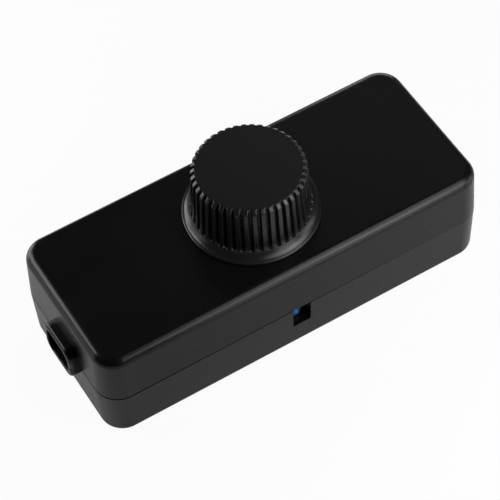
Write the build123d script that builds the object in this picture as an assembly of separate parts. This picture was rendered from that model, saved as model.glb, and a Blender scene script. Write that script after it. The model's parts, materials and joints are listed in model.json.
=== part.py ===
from build123d import *
from math import sqrt
import os

# An in-line rotary dimmer for LED lamps, in millimetres.
# Two moulded half shells meet at mid height and hold a circuit board and a panel potentiometer.
# A fluted knob turns on the potentiometer's shaft, and a cord can enter through a collar at each end.
# +X runs along the case, +Z is up, and the origin is at the centre of the underside.

# Case
CASE_LENGTH = 87.6
CASE_WIDTH = 36.0
LOWER_HEIGHT = 12.2
UPPER_HEIGHT = 11.9
CORNER_RADIUS = 5.3
WALL = 2.0
FLOOR = 2.0
ROOF = 2.0
DRAFT_ANGLE = 2.0
TOP_EDGE_RADIUS = 2.0
BOTTOM_EDGE_RADIUS = 1.5
PARTING_BEVEL = 0.15
TONGUE_THICKNESS = 0.9
TONGUE_HEIGHT = 1.0
TONGUE_GAP = 0.1

# Collar round each cord entry, a little in front of the case's middle
ENTRY_Y = -0.9
COLLAR_WIDTH = 10.8
COLLAR_HEIGHT = 8.4
COLLAR_REACH = 1.9
COLLAR_CORNER = 2.5
COLLAR_EDGE_RADIUS = 0.75
COLLAR_EDGE_SHARE = 0.7
ENTRY_WIDTH = 8.5
ENTRY_HEIGHT = 6.1
ENTRY_CORNER = 2.0

# Indicator window in the lower shell's front wall
WINDOW_WIDTH = 4.1
WINDOW_DEPTH = 5.2

# Bosses and screws that close the case
BOSS_RADIUS = 3.2
BOSS_SINK = 0.6
CASE_SCREW_RADIUS = 1.3
CASE_SCREW_BITE = 7.0
CASE_HEAD_RADIUS = 2.4
CASE_HEAD_HEIGHT = 1.8
CASE_HEAD_RECESS = 2.6
HEAD_GAP = 0.2
SHANK_GAP = 0.2
THREAD_GAP = 0.03

# Every screw head's form, as shares of its radius and height
HEAD_BRIM = 0.5
HEAD_CROWN = 0.75
RECESS_REACH = 0.55
RECESS_HALF_WIDTH = 0.14
RECESS_FLOOR = 0.4

# Knob
KNOB_HEIGHT = 13.6
KNOB_GAP = 0.2
KNOB_FACE_RADIUS = 10.6
KNOB_TIP_RADIUS = 11.4
KNOB_BEVEL_HEIGHT = 0.9
KNOB_FOOT_RADIUS = 11.9
KNOB_RIM_RADIUS = 13.85
KNOB_FLARE_HEIGHT = 3.5
KNOB_FLARE_REACH = 1.45
KNOB_RIM_HEIGHT = 0.65
KNOB_RIM_ROUND = 0.2
KNOB_ROOF = 1.6
KNOB_BORE_TOP = 9.3
KNOB_BORE_FOOT = 9.8
KNOB_WEB = 1.2
KNOB_WEB_COUNT = 4
KNOB_HUB_RADIUS = 4.6
KNOB_HUB_CLEARANCE = 0.6
FLUTE_COUNT = 42
FLUTE_WIDTH = 0.6
FLUTE_DEPTH = 0.95
FLUTE_FOOT_DROP = 1.3

# Potentiometer
CAN_RADIUS = 8.2
CAN_WALL = 0.5
CAN_HEIGHT = 7.8
PLATE_THICKNESS = 0.8
BUSH_RADIUS = 3.5
BUSH_HEIGHT = 5.6
BUSH_HOLE_GAP = 0.15
SHAFT_RADIUS = 3.0
SHAFT_RUNNING_GAP = 0.05
SHAFT_TIP_GAP = 0.5
SHAFT_FLAT = 1.5
SHOULDER_RADIUS = 4.5
SHOULDER_THICKNESS = 0.8
SHOULDER_GAP = 0.1
FIT_GAP = 0.03
WAFER_THICKNESS = 1.2
WAFER_GAP = 0.2
WAFER_TAB_WIDTH = 13.0
WAFER_TAB_REACH = 11.2
WIPER_RADIUS = 6.5
WIPER_THICKNESS = 1.6
WIPER_SEAT_RADIUS = 2.5
WIPER_RISE = 1.5
WIPER_CONTACT_GAP = 0.1
WIPER_CONTACT_RADIUS = 4.8
WIPER_CONTACT_SIZE = 1.2
PIVOT_RADIUS = 1.5
PIVOT_REACH = 0.9
STOP_LUG_REACH = 0.8
STOP_LUG_WIDTH = 2.8
STOP_NIB_REACH = 0.9
STOP_NIB_WIDTH = 3.6
TERMINAL_PITCH = 5.0
TERMINAL_WIDTH = 1.0
TERMINAL_THICKNESS = 0.5
TERMINAL_TIP = 1.2
TERMINAL_HEAD = 0.5
NUT_ACROSS_FLATS = 10.0
NUT_HEIGHT = 2.0
NUT_BEVEL = 0.35
WASHER_RADIUS = 6.0
WASHER_THICKNESS = 0.5

# Circuit board
BOARD_SIDE_GAP = 1.5
BOARD_THICKNESS = 1.6
BOARD_RISE = 2.0
BOARD_END_GAP = 0.4
BOARD_SCREW_INSET = 3.1
STANDOFF_RADIUS = 2.5
BOARD_SCREW_RADIUS = 1.0
BOARD_SCREW_BITE = 2.8
BOARD_HEAD_RADIUS = 2.0
BOARD_HEAD_HEIGHT = 1.4

# Cord clamps and the saddles that they close on
CLAMP_DEPTH = 4.6
CLAMP_GAP = 0.4
CLAMP_EAR = 4.7
CLAMP_THICKNESS = 1.4
CLAMP_SEAT_DROP = 1.0
CLAMP_SCREW_RADIUS = 1.1
CLAMP_SCREW_BITE = 6.0
CLAMP_HEAD_RADIUS = 2.1
CLAMP_HEAD_HEIGHT = 1.5

# Screw terminals
BLOCK_DEPTH = 8.0
BLOCK_PITCH = 5.08
BLOCK_HEIGHT = 9.0
BLOCK_INSET = 0.3
BLOCK_STEP = 2.2
WIRE_ENTRY = 3.4
WIRE_ENTRY_DEPTH = 5.0
WIRE_ENTRY_SILL = 1.4
WELL_RADIUS = 1.8
WELL_DEPTH = 3.4
TERMINAL_SCREW_RADIUS = 1.6
TERMINAL_SCREW_HEIGHT = 2.0
DRIVER_SLOT = 0.6

# Indicator lamp
LED_RADIUS = 1.5
LED_FLANGE_RADIUS = 1.9
LED_FLANGE = 1.0
LED_LENGTH = 5.3
LED_FACE_GAP = 0.4
LED_BOARD_GAP = 0.05
LEAD_SIZE = 0.5
LEAD_PITCH = 2.54
LEAD_RUN = 1.5
LEAD_TIP = 1.0
PIN_HOLE_GAP = 0.2

# Parts soldered on the board
PART_GAP = 1.0
EDGE_GAP = 0.3
ROW_GAP = 0.3
CAPACITOR_RADIUS = 4.0
CAPACITOR_LENGTH = 8.5
CAPACITOR_GROOVE = 0.35
CAPACITOR_CRIMP = 1.7
FUSE_RADIUS = 1.8
FUSE_LENGTH = 8.0
FUSE_CAP = 2.0
RESISTOR_RADIUS = 1.0
RESISTOR_LENGTH = 6.0
RESISTOR_PITCH = 2.3
RESISTOR_COUNT = 3
DIODE_RADIUS = 0.9
DIODE_LENGTH = 4.2
WIRE_RADIUS = 0.3
WIRE_STUB = 1.2
AXIAL_RISE = 0.2
CHOKE_RADIUS = 2.6
CHOKE_HEIGHT = 7.0
CHOKE_WAIST = 1.8
CHOKE_FLANGE = 1.2
FILM_LENGTH = 11.0
FILM_WIDTH = 4.4
FILM_HEIGHT = 7.6
FILM_CORNER = 0.55
TRANSISTOR_LENGTH = 6.1
TRANSISTOR_WIDTH = 6.5
TRANSISTOR_HEIGHT = 2.3
TRANSISTOR_TAB = 1.2
TRANSISTOR_TAB_WIDTH = 5.2
TRANSISTOR_BEVEL = 0.3
TRANSISTOR_GAP = 0.7
CHIP_LENGTH = 5.0
CHIP_WIDTH = 3.9
CHIP_HEIGHT = 1.5
CHIP_BEVEL = 0.2
CHIP_PLACE = (0.0, -3.0)
CHIP_LEG_PITCH = 1.27
CHIP_LEG_WIDTH = 0.4
CHIP_LEG_REACH = 1.0
CHIP_LEG_THICKNESS = 0.25
CHIP_PINS_PER_SIDE = 4

# Places that follow from the sizes above
SEAM = LOWER_HEIGHT
CASE_TOP = LOWER_HEIGHT + UPPER_HEIGHT
CEILING = CASE_TOP - ROOF
INNER_LENGTH = CASE_LENGTH - 2 * WALL
INNER_WIDTH = CASE_WIDTH - 2 * WALL
INNER_RADIUS = CORNER_RADIUS - WALL
BOSS_X = INNER_LENGTH / 2 + BOSS_SINK - BOSS_RADIUS
BOSS_Y = INNER_WIDTH / 2 + BOSS_SINK - BOSS_RADIUS
BOSS_PLACES = [(x, y) for x in (-BOSS_X, BOSS_X) for y in (-BOSS_Y, BOSS_Y)]
CLAMP_X = BOSS_X - BOSS_RADIUS - CLAMP_GAP - CLAMP_DEPTH / 2
CLAMP_SEAT = SEAM - CLAMP_SEAT_DROP
CLAMP_CROWN = SEAM + ENTRY_HEIGHT / 2 + CLAMP_THICKNESS
CLAMP_HALF_HUMP = ENTRY_WIDTH / 2 + CLAMP_THICKNESS
CLAMP_FRONT = ENTRY_Y - CLAMP_HALF_HUMP - CLAMP_EAR
CLAMP_REAR = ENTRY_Y + CLAMP_HALF_HUMP + CLAMP_EAR
CLAMP_SCREW_YS = (CLAMP_FRONT + CLAMP_EAR / 2, CLAMP_REAR - CLAMP_EAR / 2)
CLAMP_EAR_TOP = CLAMP_SEAT + CLAMP_THICKNESS
BOARD_UNDERSIDE = FLOOR + BOARD_RISE
BOARD_TOP = BOARD_UNDERSIDE + BOARD_THICKNESS
BOARD_HALF_LENGTH = CLAMP_X - CLAMP_DEPTH / 2 - BOARD_END_GAP
BOARD_WIDTH = INNER_WIDTH - 2 * BOARD_SIDE_GAP
BOARD_SCREW_X = BOARD_HALF_LENGTH - BOARD_SCREW_INSET
BOARD_SCREW_Y = BOARD_WIDTH / 2 - BOARD_SCREW_INSET
BOARD_SCREW_PLACES = [
    (x, y) for x in (-BOARD_SCREW_X, BOARD_SCREW_X) for y in (-BOARD_SCREW_Y, BOARD_SCREW_Y)
]
BLOCK_OUTER = BOARD_HALF_LENGTH - BLOCK_INSET
BLOCK_WIDTH = 2 * BLOCK_PITCH
CAN_TOP = CEILING - PLATE_THICKNESS
CAN_UNDERSIDE = CAN_TOP - CAN_HEIGHT
WAFER_UNDERSIDE = CAN_UNDERSIDE + CAN_WALL
WAFER_TOP = WAFER_UNDERSIDE + WAFER_THICKNESS
WIPER_UNDERSIDE = WAFER_TOP + WIPER_RISE
WIPER_TOP = WIPER_UNDERSIDE + WIPER_THICKNESS
SHOULDER_TOP = CAN_TOP - SHOULDER_GAP
SHOULDER_UNDERSIDE = SHOULDER_TOP - SHOULDER_THICKNESS
TERMINAL_Y = WAFER_TAB_REACH - TERMINAL_WIDTH
TERMINAL_XS = (-TERMINAL_PITCH, 0.0, TERMINAL_PITCH)
BUSH_TOP = CEILING + BUSH_HEIGHT
KNOB_UNDERSIDE = CASE_TOP + KNOB_GAP
KNOB_TOP = KNOB_UNDERSIDE + KNOB_HEIGHT
KNOB_CEILING = KNOB_TOP - KNOB_ROOF
KNOB_HUB_UNDERSIDE = BUSH_TOP + KNOB_HUB_CLEARANCE
KNOB_WEB_REACH = (KNOB_BORE_TOP + KNOB_TIP_RADIUS - FLUTE_DEPTH) / 2
SHAFT_TOP = KNOB_CEILING - SHAFT_TIP_GAP
LED_Z = BOARD_TOP + LED_FLANGE_RADIUS + LED_BOARD_GAP
LED_TIP = -INNER_WIDTH / 2 + LED_FACE_GAP
LED_BACK = LED_TIP + LED_LENGTH
LEAD_Y = LED_BACK + LEAD_RUN
LEAD_XS = (-LEAD_PITCH / 2, LEAD_PITCH / 2)
PARTS_REACH = BLOCK_OUTER - BLOCK_DEPTH - PART_GAP
BOARD_EDGE = BOARD_WIDTH / 2 - EDGE_GAP
CAPACITOR_X = CAPACITOR_RADIUS - PARTS_REACH
DIODE_PLACE = (DIODE_LENGTH / 2 + WIRE_STUB + WIRE_RADIUS - PARTS_REACH, BOARD_EDGE - DIODE_RADIUS)
FUSE_PLACE = (
    FUSE_LENGTH / 2 + WIRE_STUB + WIRE_RADIUS - PARTS_REACH,
    BOARD_EDGE - 2 * DIODE_RADIUS - ROW_GAP - FUSE_RADIUS - AXIAL_RISE,
)
RESISTOR_X = RESISTOR_LENGTH / 2 + WIRE_STUB + WIRE_RADIUS - PARTS_REACH
RESISTOR_PLACES = [
    (RESISTOR_X, RESISTOR_RADIUS - BOARD_EDGE + row * RESISTOR_PITCH) for row in range(RESISTOR_COUNT)
]
CHOKE_PLACE = (PARTS_REACH - CHOKE_RADIUS, CHOKE_RADIUS - BOARD_EDGE)
FILM_PLACE = (PARTS_REACH - FILM_LENGTH / 2, BOARD_EDGE - FILM_WIDTH / 2)
TRANSISTOR_X = PARTS_REACH - TRANSISTOR_TAB - TRANSISTOR_LENGTH / 2
TRANSISTOR_Y = (TRANSISTOR_WIDTH + TRANSISTOR_GAP) / 2

BASE = (Align.CENTER, Align.CENTER, Align.MIN)
CORNER = (Align.MIN, Align.MIN, Align.MIN)
CUT_THROUGH = 1.0


def block(x0, x1, y0, y1, z0, z1):
    """A box between two corners."""
    return Pos(x0, y0, z0) * Box(x1 - x0, y1 - y0, z1 - z0, align=CORNER)


def rod(radius, z0, z1, x=0.0, y=0.0):
    """An upright cylinder."""
    return Pos(x, y, z0) * Cylinder(radius, z1 - z0, align=BASE)


def lathe(points):
    """A turned solid: its half section, as (radius, height) points, spun round Z."""
    return revolve(Plane.XZ * make_face(Polyline(*points, close=True)), Axis.Z)


def drafted_block(length, width, radius, z, height, upward):
    """A rounded block that starts at z and narrows away from it by the moulding draft."""
    outline = Plane.XY.offset(z) * RectangleRounded(length, width, radius)
    direction = (0, 0, 1) if upward else (0, 0, -1)
    return extrude(outline, amount=height, dir=direction, taper=DRAFT_ANGLE)


def half_shell(height, skin, edge_radius, upward):
    """One hollow half of the case, open at the seam, with its far edge rounded."""
    outer = drafted_block(CASE_LENGTH, CASE_WIDTH, CORNER_RADIUS, SEAM, height, upward)
    far_face = outer.faces().sort_by(Axis.Z)[-1 if upward else 0]
    outer = fillet(far_face.edges(), min(edge_radius, WALL + skin / 2))
    seam_face = outer.faces().sort_by(Axis.Z)[0 if upward else -1]
    outer = chamfer(seam_face.edges(), PARTING_BEVEL)
    hollow = drafted_block(INNER_LENGTH, INNER_WIDTH, INNER_RADIUS, SEAM, height - skin, upward)
    return outer, hollow


def seam_ring(growth, height):
    """The rounded slab that the seam's tongue fills, grown outwards by a margin."""
    outline = Plane.XY.offset(SEAM) * RectangleRounded(
        INNER_LENGTH + 2 * growth, INNER_WIDTH + 2 * growth, INNER_RADIUS + growth
    )
    return extrude(outline, amount=height)


def entry_plane(x):
    """The upright plane across the cord's way at x, centred on the entries."""
    return Plane((x, ENTRY_Y, SEAM), x_dir=(0, 1, 0), z_dir=(1, 0, 0))


def at_end(side, shape):
    """A shape made for the right end, or its mirror image for the left end."""
    return shape if side > 0 else mirror(shape, about=Plane.YZ)


def collar(side):
    """The boss round one cord entry, before it is parted at the seam."""
    outline = RectangleRounded(COLLAR_WIDTH, COLLAR_HEIGHT, COLLAR_CORNER)
    boss = extrude(entry_plane(CASE_LENGTH / 2 - WALL) * outline, WALL + COLLAR_REACH)
    rim = min(COLLAR_WIDTH - ENTRY_WIDTH, COLLAR_HEIGHT - ENTRY_HEIGHT) / 2
    outer_face = boss.faces().sort_by(Axis.X)[-1]
    boss = fillet(outer_face.edges(), min(COLLAR_EDGE_RADIUS, rim * COLLAR_EDGE_SHARE))
    return at_end(side, boss)


def cord_passage(side):
    """The hole of one cord entry, from outside the collar to the inside of the wall."""
    outline = RectangleRounded(ENTRY_WIDTH, ENTRY_HEIGHT, ENTRY_CORNER)
    start = CASE_LENGTH / 2 - WALL - CUT_THROUGH
    length = WALL + COLLAR_REACH + 2 * CUT_THROUGH
    return at_end(side, extrude(entry_plane(start) * outline, length))


def above_seam(shape):
    """The part of a shape above the seam."""
    reach = CASE_LENGTH
    return shape & block(-reach, reach, -reach, reach, SEAM, SEAM + reach)


def below_seam(shape):
    """The part of a shape below the seam."""
    reach = CASE_LENGTH
    return shape & block(-reach, reach, -reach, reach, SEAM - reach, SEAM)


def wall_middle(height, upward):
    """A block that ends half way into the walls, to trim the bosses that grow out of them."""
    return drafted_block(
        CASE_LENGTH - WALL, CASE_WIDTH - WALL, CORNER_RADIUS - WALL / 2, SEAM, height, upward
    )


def make_top_shell():
    outer, hollow = half_shell(UPPER_HEIGHT, ROOF, TOP_EDGE_RADIUS, True)
    shell = outer + above_seam(collar(1)) + above_seam(collar(-1)) - hollow
    shell += boss_columns(BOSS_RADIUS, SEAM, CEILING + ROOF / 2) & wall_middle(UPPER_HEIGHT, True)
    rebate = seam_ring(TONGUE_THICKNESS + TONGUE_GAP, TONGUE_HEIGHT + TONGUE_GAP)
    shell -= rebate - boss_columns(BOSS_RADIUS, SEAM, CEILING)
    pilot_end = SEAM + CASE_SCREW_BITE + HEAD_GAP
    shell -= boss_columns(CASE_SCREW_RADIUS + THREAD_GAP, SEAM - CUT_THROUGH, pilot_end)
    shell -= cord_passage(1)
    shell -= cord_passage(-1)
    shell -= rod(BUSH_RADIUS + BUSH_HOLE_GAP, CEILING - CUT_THROUGH, CASE_TOP + CUT_THROUGH)
    return shell


def boss_columns(radius, z0, z1):
    """One upright cylinder at each case screw."""
    columns = rod(radius, z0, z1, *BOSS_PLACES[0])
    for x, y in BOSS_PLACES[1:]:
        columns += rod(radius, z0, z1, x, y)
    return columns


def saddle(side):
    """The cross rib that a cord clamp closes on, with a rounded trough for the cord."""
    x0 = side * CLAMP_X - CLAMP_DEPTH / 2
    rib = block(x0, x0 + CLAMP_DEPTH, CLAMP_FRONT, CLAMP_REAR, FLOOR / 2, CLAMP_SEAT)
    return rib - clamp_passage(side)


def clamp_passage(side):
    """The cord's way through a saddle and its clamp, in line with the entry."""
    x0 = side * CLAMP_X - CLAMP_DEPTH / 2 - CUT_THROUGH
    outline = RectangleRounded(ENTRY_WIDTH, ENTRY_HEIGHT, ENTRY_CORNER)
    return extrude(entry_plane(x0) * outline, CLAMP_DEPTH + 2 * CUT_THROUGH)


def make_bottom_shell():
    outer, hollow = half_shell(LOWER_HEIGHT, FLOOR, BOTTOM_EDGE_RADIUS, False)
    shell = outer + below_seam(collar(1)) + below_seam(collar(-1)) - hollow
    tongue = seam_ring(TONGUE_THICKNESS, TONGUE_HEIGHT) - seam_ring(0, TONGUE_HEIGHT)
    shell += tongue - boss_columns(BOSS_RADIUS + TONGUE_GAP, SEAM, CASE_TOP)
    shell += boss_columns(BOSS_RADIUS, FLOOR / 2, SEAM) & wall_middle(LOWER_HEIGHT, False)
    shell += saddle(1) + saddle(-1)
    for x, y in BOARD_SCREW_PLACES:
        shell += rod(STANDOFF_RADIUS, FLOOR / 2, BOARD_UNDERSIDE, x, y)
        pilot = BOARD_SCREW_RADIUS + THREAD_GAP
        shell -= rod(pilot, BOARD_UNDERSIDE - BOARD_SCREW_BITE - HEAD_GAP, BOARD_TOP, x, y)
    for side in (-1, 1):
        for y in CLAMP_SCREW_YS:
            pilot = CLAMP_SCREW_RADIUS + THREAD_GAP
            floor = CLAMP_SEAT - CLAMP_SCREW_BITE - HEAD_GAP
            shell -= rod(pilot, floor, CASE_TOP, side * CLAMP_X, y)
    shell -= boss_columns(CASE_SCREW_RADIUS + SHANK_GAP, -CUT_THROUGH, CASE_TOP)
    shell -= boss_columns(CASE_HEAD_RADIUS + HEAD_GAP, -CUT_THROUGH, CASE_HEAD_RECESS)
    shell -= cord_passage(1)
    shell -= cord_passage(-1)
    front = -CASE_WIDTH / 2 - CUT_THROUGH
    back = -INNER_WIDTH / 2 + CUT_THROUGH
    shell -= block(-WINDOW_WIDTH / 2, WINDOW_WIDTH / 2, front, back, SEAM - WINDOW_DEPTH, CASE_TOP)
    return shell


def knob_outline():
    """The knob's outer half section: a drafted grip that flares into a thin rim."""
    flare_start = (KNOB_FOOT_RADIUS, KNOB_UNDERSIDE + KNOB_FLARE_HEIGHT)
    flare_end = (KNOB_FOOT_RADIUS + KNOB_FLARE_REACH, KNOB_UNDERSIDE + KNOB_RIM_HEIGHT + KNOB_RIM_ROUND)
    rim_top = KNOB_UNDERSIDE + KNOB_RIM_HEIGHT
    tip = (KNOB_TIP_RADIUS, KNOB_TOP - KNOB_BEVEL_HEIGHT)
    top_edge = Polyline((0, KNOB_TOP), (KNOB_FACE_RADIUS, KNOB_TOP), tip)
    grip = Line(tip, flare_start)
    flare = TangentArc(flare_start, flare_end, tangent=grip % 1)
    rim_foot = (KNOB_RIM_RADIUS, KNOB_UNDERSIDE)
    rim = Polyline(flare_end, (KNOB_RIM_RADIUS, rim_top), rim_foot, (0, KNOB_UNDERSIDE), (0, KNOB_TOP))
    return make_face([top_edge, grip, flare, rim])


def flute():
    """One narrow groove of the grip, leaning with its draft and running out in the flare."""
    foot_height = KNOB_UNDERSIDE + KNOB_FLARE_HEIGHT
    tip_height = KNOB_TOP - KNOB_BEVEL_HEIGHT
    lean = (KNOB_FOOT_RADIUS - KNOB_TIP_RADIUS) / (tip_height - foot_height)
    start = foot_height - FLUTE_FOOT_DROP
    floor_radius = KNOB_FOOT_RADIUS - FLUTE_DEPTH + lean * (foot_height - start)
    face = Plane((floor_radius, 0, start), x_dir=(0, 1, 0), z_dir=(1, 0, lean))
    length = KNOB_HEIGHT
    groove = Pos(0, length / 2) * SlotOverall(length, FLUTE_WIDTH, rotation=90)
    return extrude(face * groove, KNOB_RIM_RADIUS - floor_radius + CUT_THROUGH)


def shaft_section(gap):
    """The D-shaped section of the shaft's end, grown by a fitting gap."""
    circle = Circle(SHAFT_RADIUS + gap)
    flat = Pos(SHAFT_FLAT + gap, 0) * Rectangle(
        SHAFT_RADIUS * 2, SHAFT_RADIUS * 3, align=(Align.MIN, Align.CENTER)
    )
    return circle - flat


def make_knob():
    knob = revolve(Plane.XZ * knob_outline(), Axis.Z)
    knob -= lathe([
        (0, KNOB_UNDERSIDE - CUT_THROUGH), (KNOB_BORE_FOOT, KNOB_UNDERSIDE - CUT_THROUGH),
        (KNOB_BORE_TOP, KNOB_CEILING), (0, KNOB_CEILING),
    ])
    hub = rod(KNOB_HUB_RADIUS, KNOB_HUB_UNDERSIDE, KNOB_CEILING)
    web_underside = KNOB_HUB_UNDERSIDE + KNOB_HUB_CLEARANCE
    for index in range(KNOB_WEB_COUNT // 2):
        web = block(
            -KNOB_WEB_REACH, KNOB_WEB_REACH, -KNOB_WEB / 2, KNOB_WEB / 2, web_underside, KNOB_CEILING
        )
        hub += Rot(0, 0, index * 360 / KNOB_WEB_COUNT) * web
    bore = Plane.XY.offset(KNOB_HUB_UNDERSIDE - CUT_THROUGH) * shaft_section(FIT_GAP)
    knob += hub - extrude(bore, KNOB_CEILING - KNOB_HUB_UNDERSIDE + CUT_THROUGH)
    groove = flute()
    return knob - [Rot(0, 0, index * 360 / FLUTE_COUNT) * groove for index in range(FLUTE_COUNT)]


def make_pot_shaft():
    shaft = rod(SHAFT_RADIUS, SHOULDER_TOP, SHAFT_TOP)
    shaft = chamfer(shaft.faces().sort_by(Axis.Z)[-1].edges(), SHAFT_TIP_GAP)
    flat_start = KNOB_HUB_UNDERSIDE - KNOB_HUB_CLEARANCE / 2
    reach = 2 * SHAFT_RADIUS
    shaft -= block(SHAFT_FLAT, reach, -reach, reach, flat_start, SHAFT_TOP + CUT_THROUGH)
    shaft += rod(SHOULDER_RADIUS, SHOULDER_UNDERSIDE, SHOULDER_TOP)
    shaft += rod(WIPER_SEAT_RADIUS, WIPER_UNDERSIDE, SHOULDER_UNDERSIDE)
    shaft += rod(PIVOT_RADIUS, WAFER_TOP - PIVOT_REACH, WIPER_UNDERSIDE)
    return shaft


def make_pot_wiper():
    wiper = rod(WIPER_RADIUS, WIPER_UNDERSIDE, WIPER_TOP)
    lug_end = WIPER_RADIUS + STOP_LUG_REACH
    wiper += block(-STOP_LUG_WIDTH / 2, STOP_LUG_WIDTH / 2, 0, lug_end, WIPER_UNDERSIDE, WIPER_TOP)
    contact_foot = WAFER_TOP + WIPER_CONTACT_GAP
    for y in (-WIPER_CONTACT_RADIUS, WIPER_CONTACT_RADIUS):
        arm = Box(WIPER_CONTACT_SIZE, WIPER_CONTACT_SIZE, WIPER_UNDERSIDE - contact_foot, align=BASE)
        wiper += Pos(0, y, contact_foot) * arm
    return wiper - rod(WIPER_SEAT_RADIUS + FIT_GAP, WIPER_UNDERSIDE - CUT_THROUGH, WIPER_TOP + CUT_THROUGH)


def make_pot_bushing():
    bush = rod(CAN_RADIUS, CAN_TOP, CEILING) + rod(BUSH_RADIUS, CEILING, BUSH_TOP)
    return bush - rod(SHAFT_RADIUS + SHAFT_RUNNING_GAP, CAN_TOP - CUT_THROUGH, BUSH_TOP + CUT_THROUGH)


def make_pot_can():
    inner = CAN_RADIUS - CAN_WALL
    can = rod(CAN_RADIUS, CAN_UNDERSIDE, CAN_TOP) - rod(inner, WAFER_UNDERSIDE, CAN_TOP)
    half_slot = WAFER_TAB_WIDTH / 2 + WAFER_GAP
    can -= block(-half_slot, half_slot, 0, CAN_RADIUS, WAFER_UNDERSIDE, WAFER_TOP + WAFER_GAP)
    nib = block(
        -STOP_NIB_WIDTH / 2, STOP_NIB_WIDTH / 2, -CAN_RADIUS + CAN_WALL / 2, -inner + STOP_NIB_REACH,
        WIPER_UNDERSIDE, WIPER_TOP,
    )
    return can + nib


def make_pot_wafer():
    wafer = rod(CAN_RADIUS - CAN_WALL - WAFER_GAP, WAFER_UNDERSIDE, WAFER_TOP)
    half_tab = WAFER_TAB_WIDTH / 2
    wafer += block(-half_tab, half_tab, 0, WAFER_TAB_REACH, WAFER_UNDERSIDE, WAFER_TOP)
    for x in TERMINAL_XS:
        wafer -= terminal_blade(x, THREAD_GAP)
    return wafer - rod(PIVOT_RADIUS + SHAFT_RUNNING_GAP, WAFER_UNDERSIDE, WAFER_TOP)


def terminal_blade(x, gap):
    """One flat leg that joins the resistive wafer to the board."""
    half_width = TERMINAL_WIDTH / 2 + gap
    half_thickness = TERMINAL_THICKNESS / 2 + gap
    return block(
        x - half_width, x + half_width, TERMINAL_Y - half_thickness, TERMINAL_Y + half_thickness,
        BOARD_UNDERSIDE - TERMINAL_TIP, WAFER_TOP + TERMINAL_HEAD,
    )


def make_pot_terminals():
    return Compound(children=[terminal_blade(x, 0) for x in TERMINAL_XS])


def make_pot_washer():
    washer = rod(WASHER_RADIUS, CASE_TOP, CASE_TOP + WASHER_THICKNESS)
    return washer - rod(BUSH_RADIUS + THREAD_GAP, CASE_TOP, CASE_TOP + WASHER_THICKNESS)


def make_pot_nut():
    foot = CASE_TOP + WASHER_THICKNESS
    top = foot + NUT_HEIGHT
    hexagon = RegularPolygon(NUT_ACROSS_FLATS / sqrt(3), 6)
    nut = extrude(Plane.XY.offset(foot) * hexagon, NUT_HEIGHT)
    nut &= lathe([
        (0, foot), (NUT_ACROSS_FLATS / 2, foot), (NUT_ACROSS_FLATS / sqrt(3), foot + NUT_BEVEL),
        (NUT_ACROSS_FLATS / sqrt(3), top - NUT_BEVEL), (NUT_ACROSS_FLATS / 2, top), (0, top),
    ])
    return nut - rod(BUSH_RADIUS + THREAD_GAP, foot, top)


def pan_screw(x, y, seat, head_radius, head_height, shank_radius, shank_length):
    """A cross-recess screw whose head stands on seat, with its shank downwards."""
    brim = (head_radius, head_height * HEAD_BRIM)
    crown = (head_radius * HEAD_CROWN, head_height)
    head = Pos(x, y, seat) * lathe([(0, 0), (head_radius, 0), brim, crown, (0, head_height)])
    arm = head_radius * RECESS_REACH
    slot = head_radius * RECESS_HALF_WIDTH
    floor = seat + head_height * RECESS_FLOOR
    head -= block(x - arm, x + arm, y - slot, y + slot, floor, seat + head_height)
    head -= block(x - slot, x + slot, y - arm, y + arm, floor, seat + head_height)
    return head + rod(shank_radius, seat - shank_length, seat, x, y)


def make_case_screws():
    length = SEAM - CASE_HEAD_RECESS + CASE_SCREW_BITE
    screws = []
    for x, y in BOSS_PLACES:
        screw = pan_screw(0, 0, 0, CASE_HEAD_RADIUS, CASE_HEAD_HEIGHT, CASE_SCREW_RADIUS, length)
        screws.append(Pos(x, y, CASE_HEAD_RECESS) * Rot(180, 0, 0) * screw)
    return Compound(children=screws)


def make_board_screws():
    length = BOARD_THICKNESS + BOARD_SCREW_BITE
    return Compound(children=[
        pan_screw(x, y, BOARD_TOP, BOARD_HEAD_RADIUS, BOARD_HEAD_HEIGHT, BOARD_SCREW_RADIUS, length)
        for x, y in BOARD_SCREW_PLACES
    ])


def make_cord_clamp(side):
    x0 = side * CLAMP_X - CLAMP_DEPTH / 2
    x1 = x0 + CLAMP_DEPTH
    clamp = block(x0, x1, CLAMP_FRONT, CLAMP_REAR, CLAMP_SEAT, CLAMP_EAR_TOP)
    hump = RectangleRounded(2 * CLAMP_HALF_HUMP, 2 * (CLAMP_CROWN - SEAM), ENTRY_CORNER + CLAMP_THICKNESS)
    arch = extrude(entry_plane(x0) * hump, CLAMP_DEPTH)
    clamp += arch & block(x0, x1, CLAMP_FRONT, CLAMP_REAR, CLAMP_SEAT, CLAMP_CROWN)
    clamp -= clamp_passage(side)
    for y in CLAMP_SCREW_YS:
        clamp -= rod(CLAMP_SCREW_RADIUS + THREAD_GAP, CLAMP_SEAT, CLAMP_EAR_TOP, side * CLAMP_X, y)
    return clamp


def make_clamp_screws(side):
    length = CLAMP_THICKNESS + CLAMP_SCREW_BITE
    return Compound(children=[
        pan_screw(
            side * CLAMP_X, y, CLAMP_EAR_TOP, CLAMP_HEAD_RADIUS, CLAMP_HEAD_HEIGHT, CLAMP_SCREW_RADIUS, length
        )
        for y in CLAMP_SCREW_YS
    ])


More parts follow.
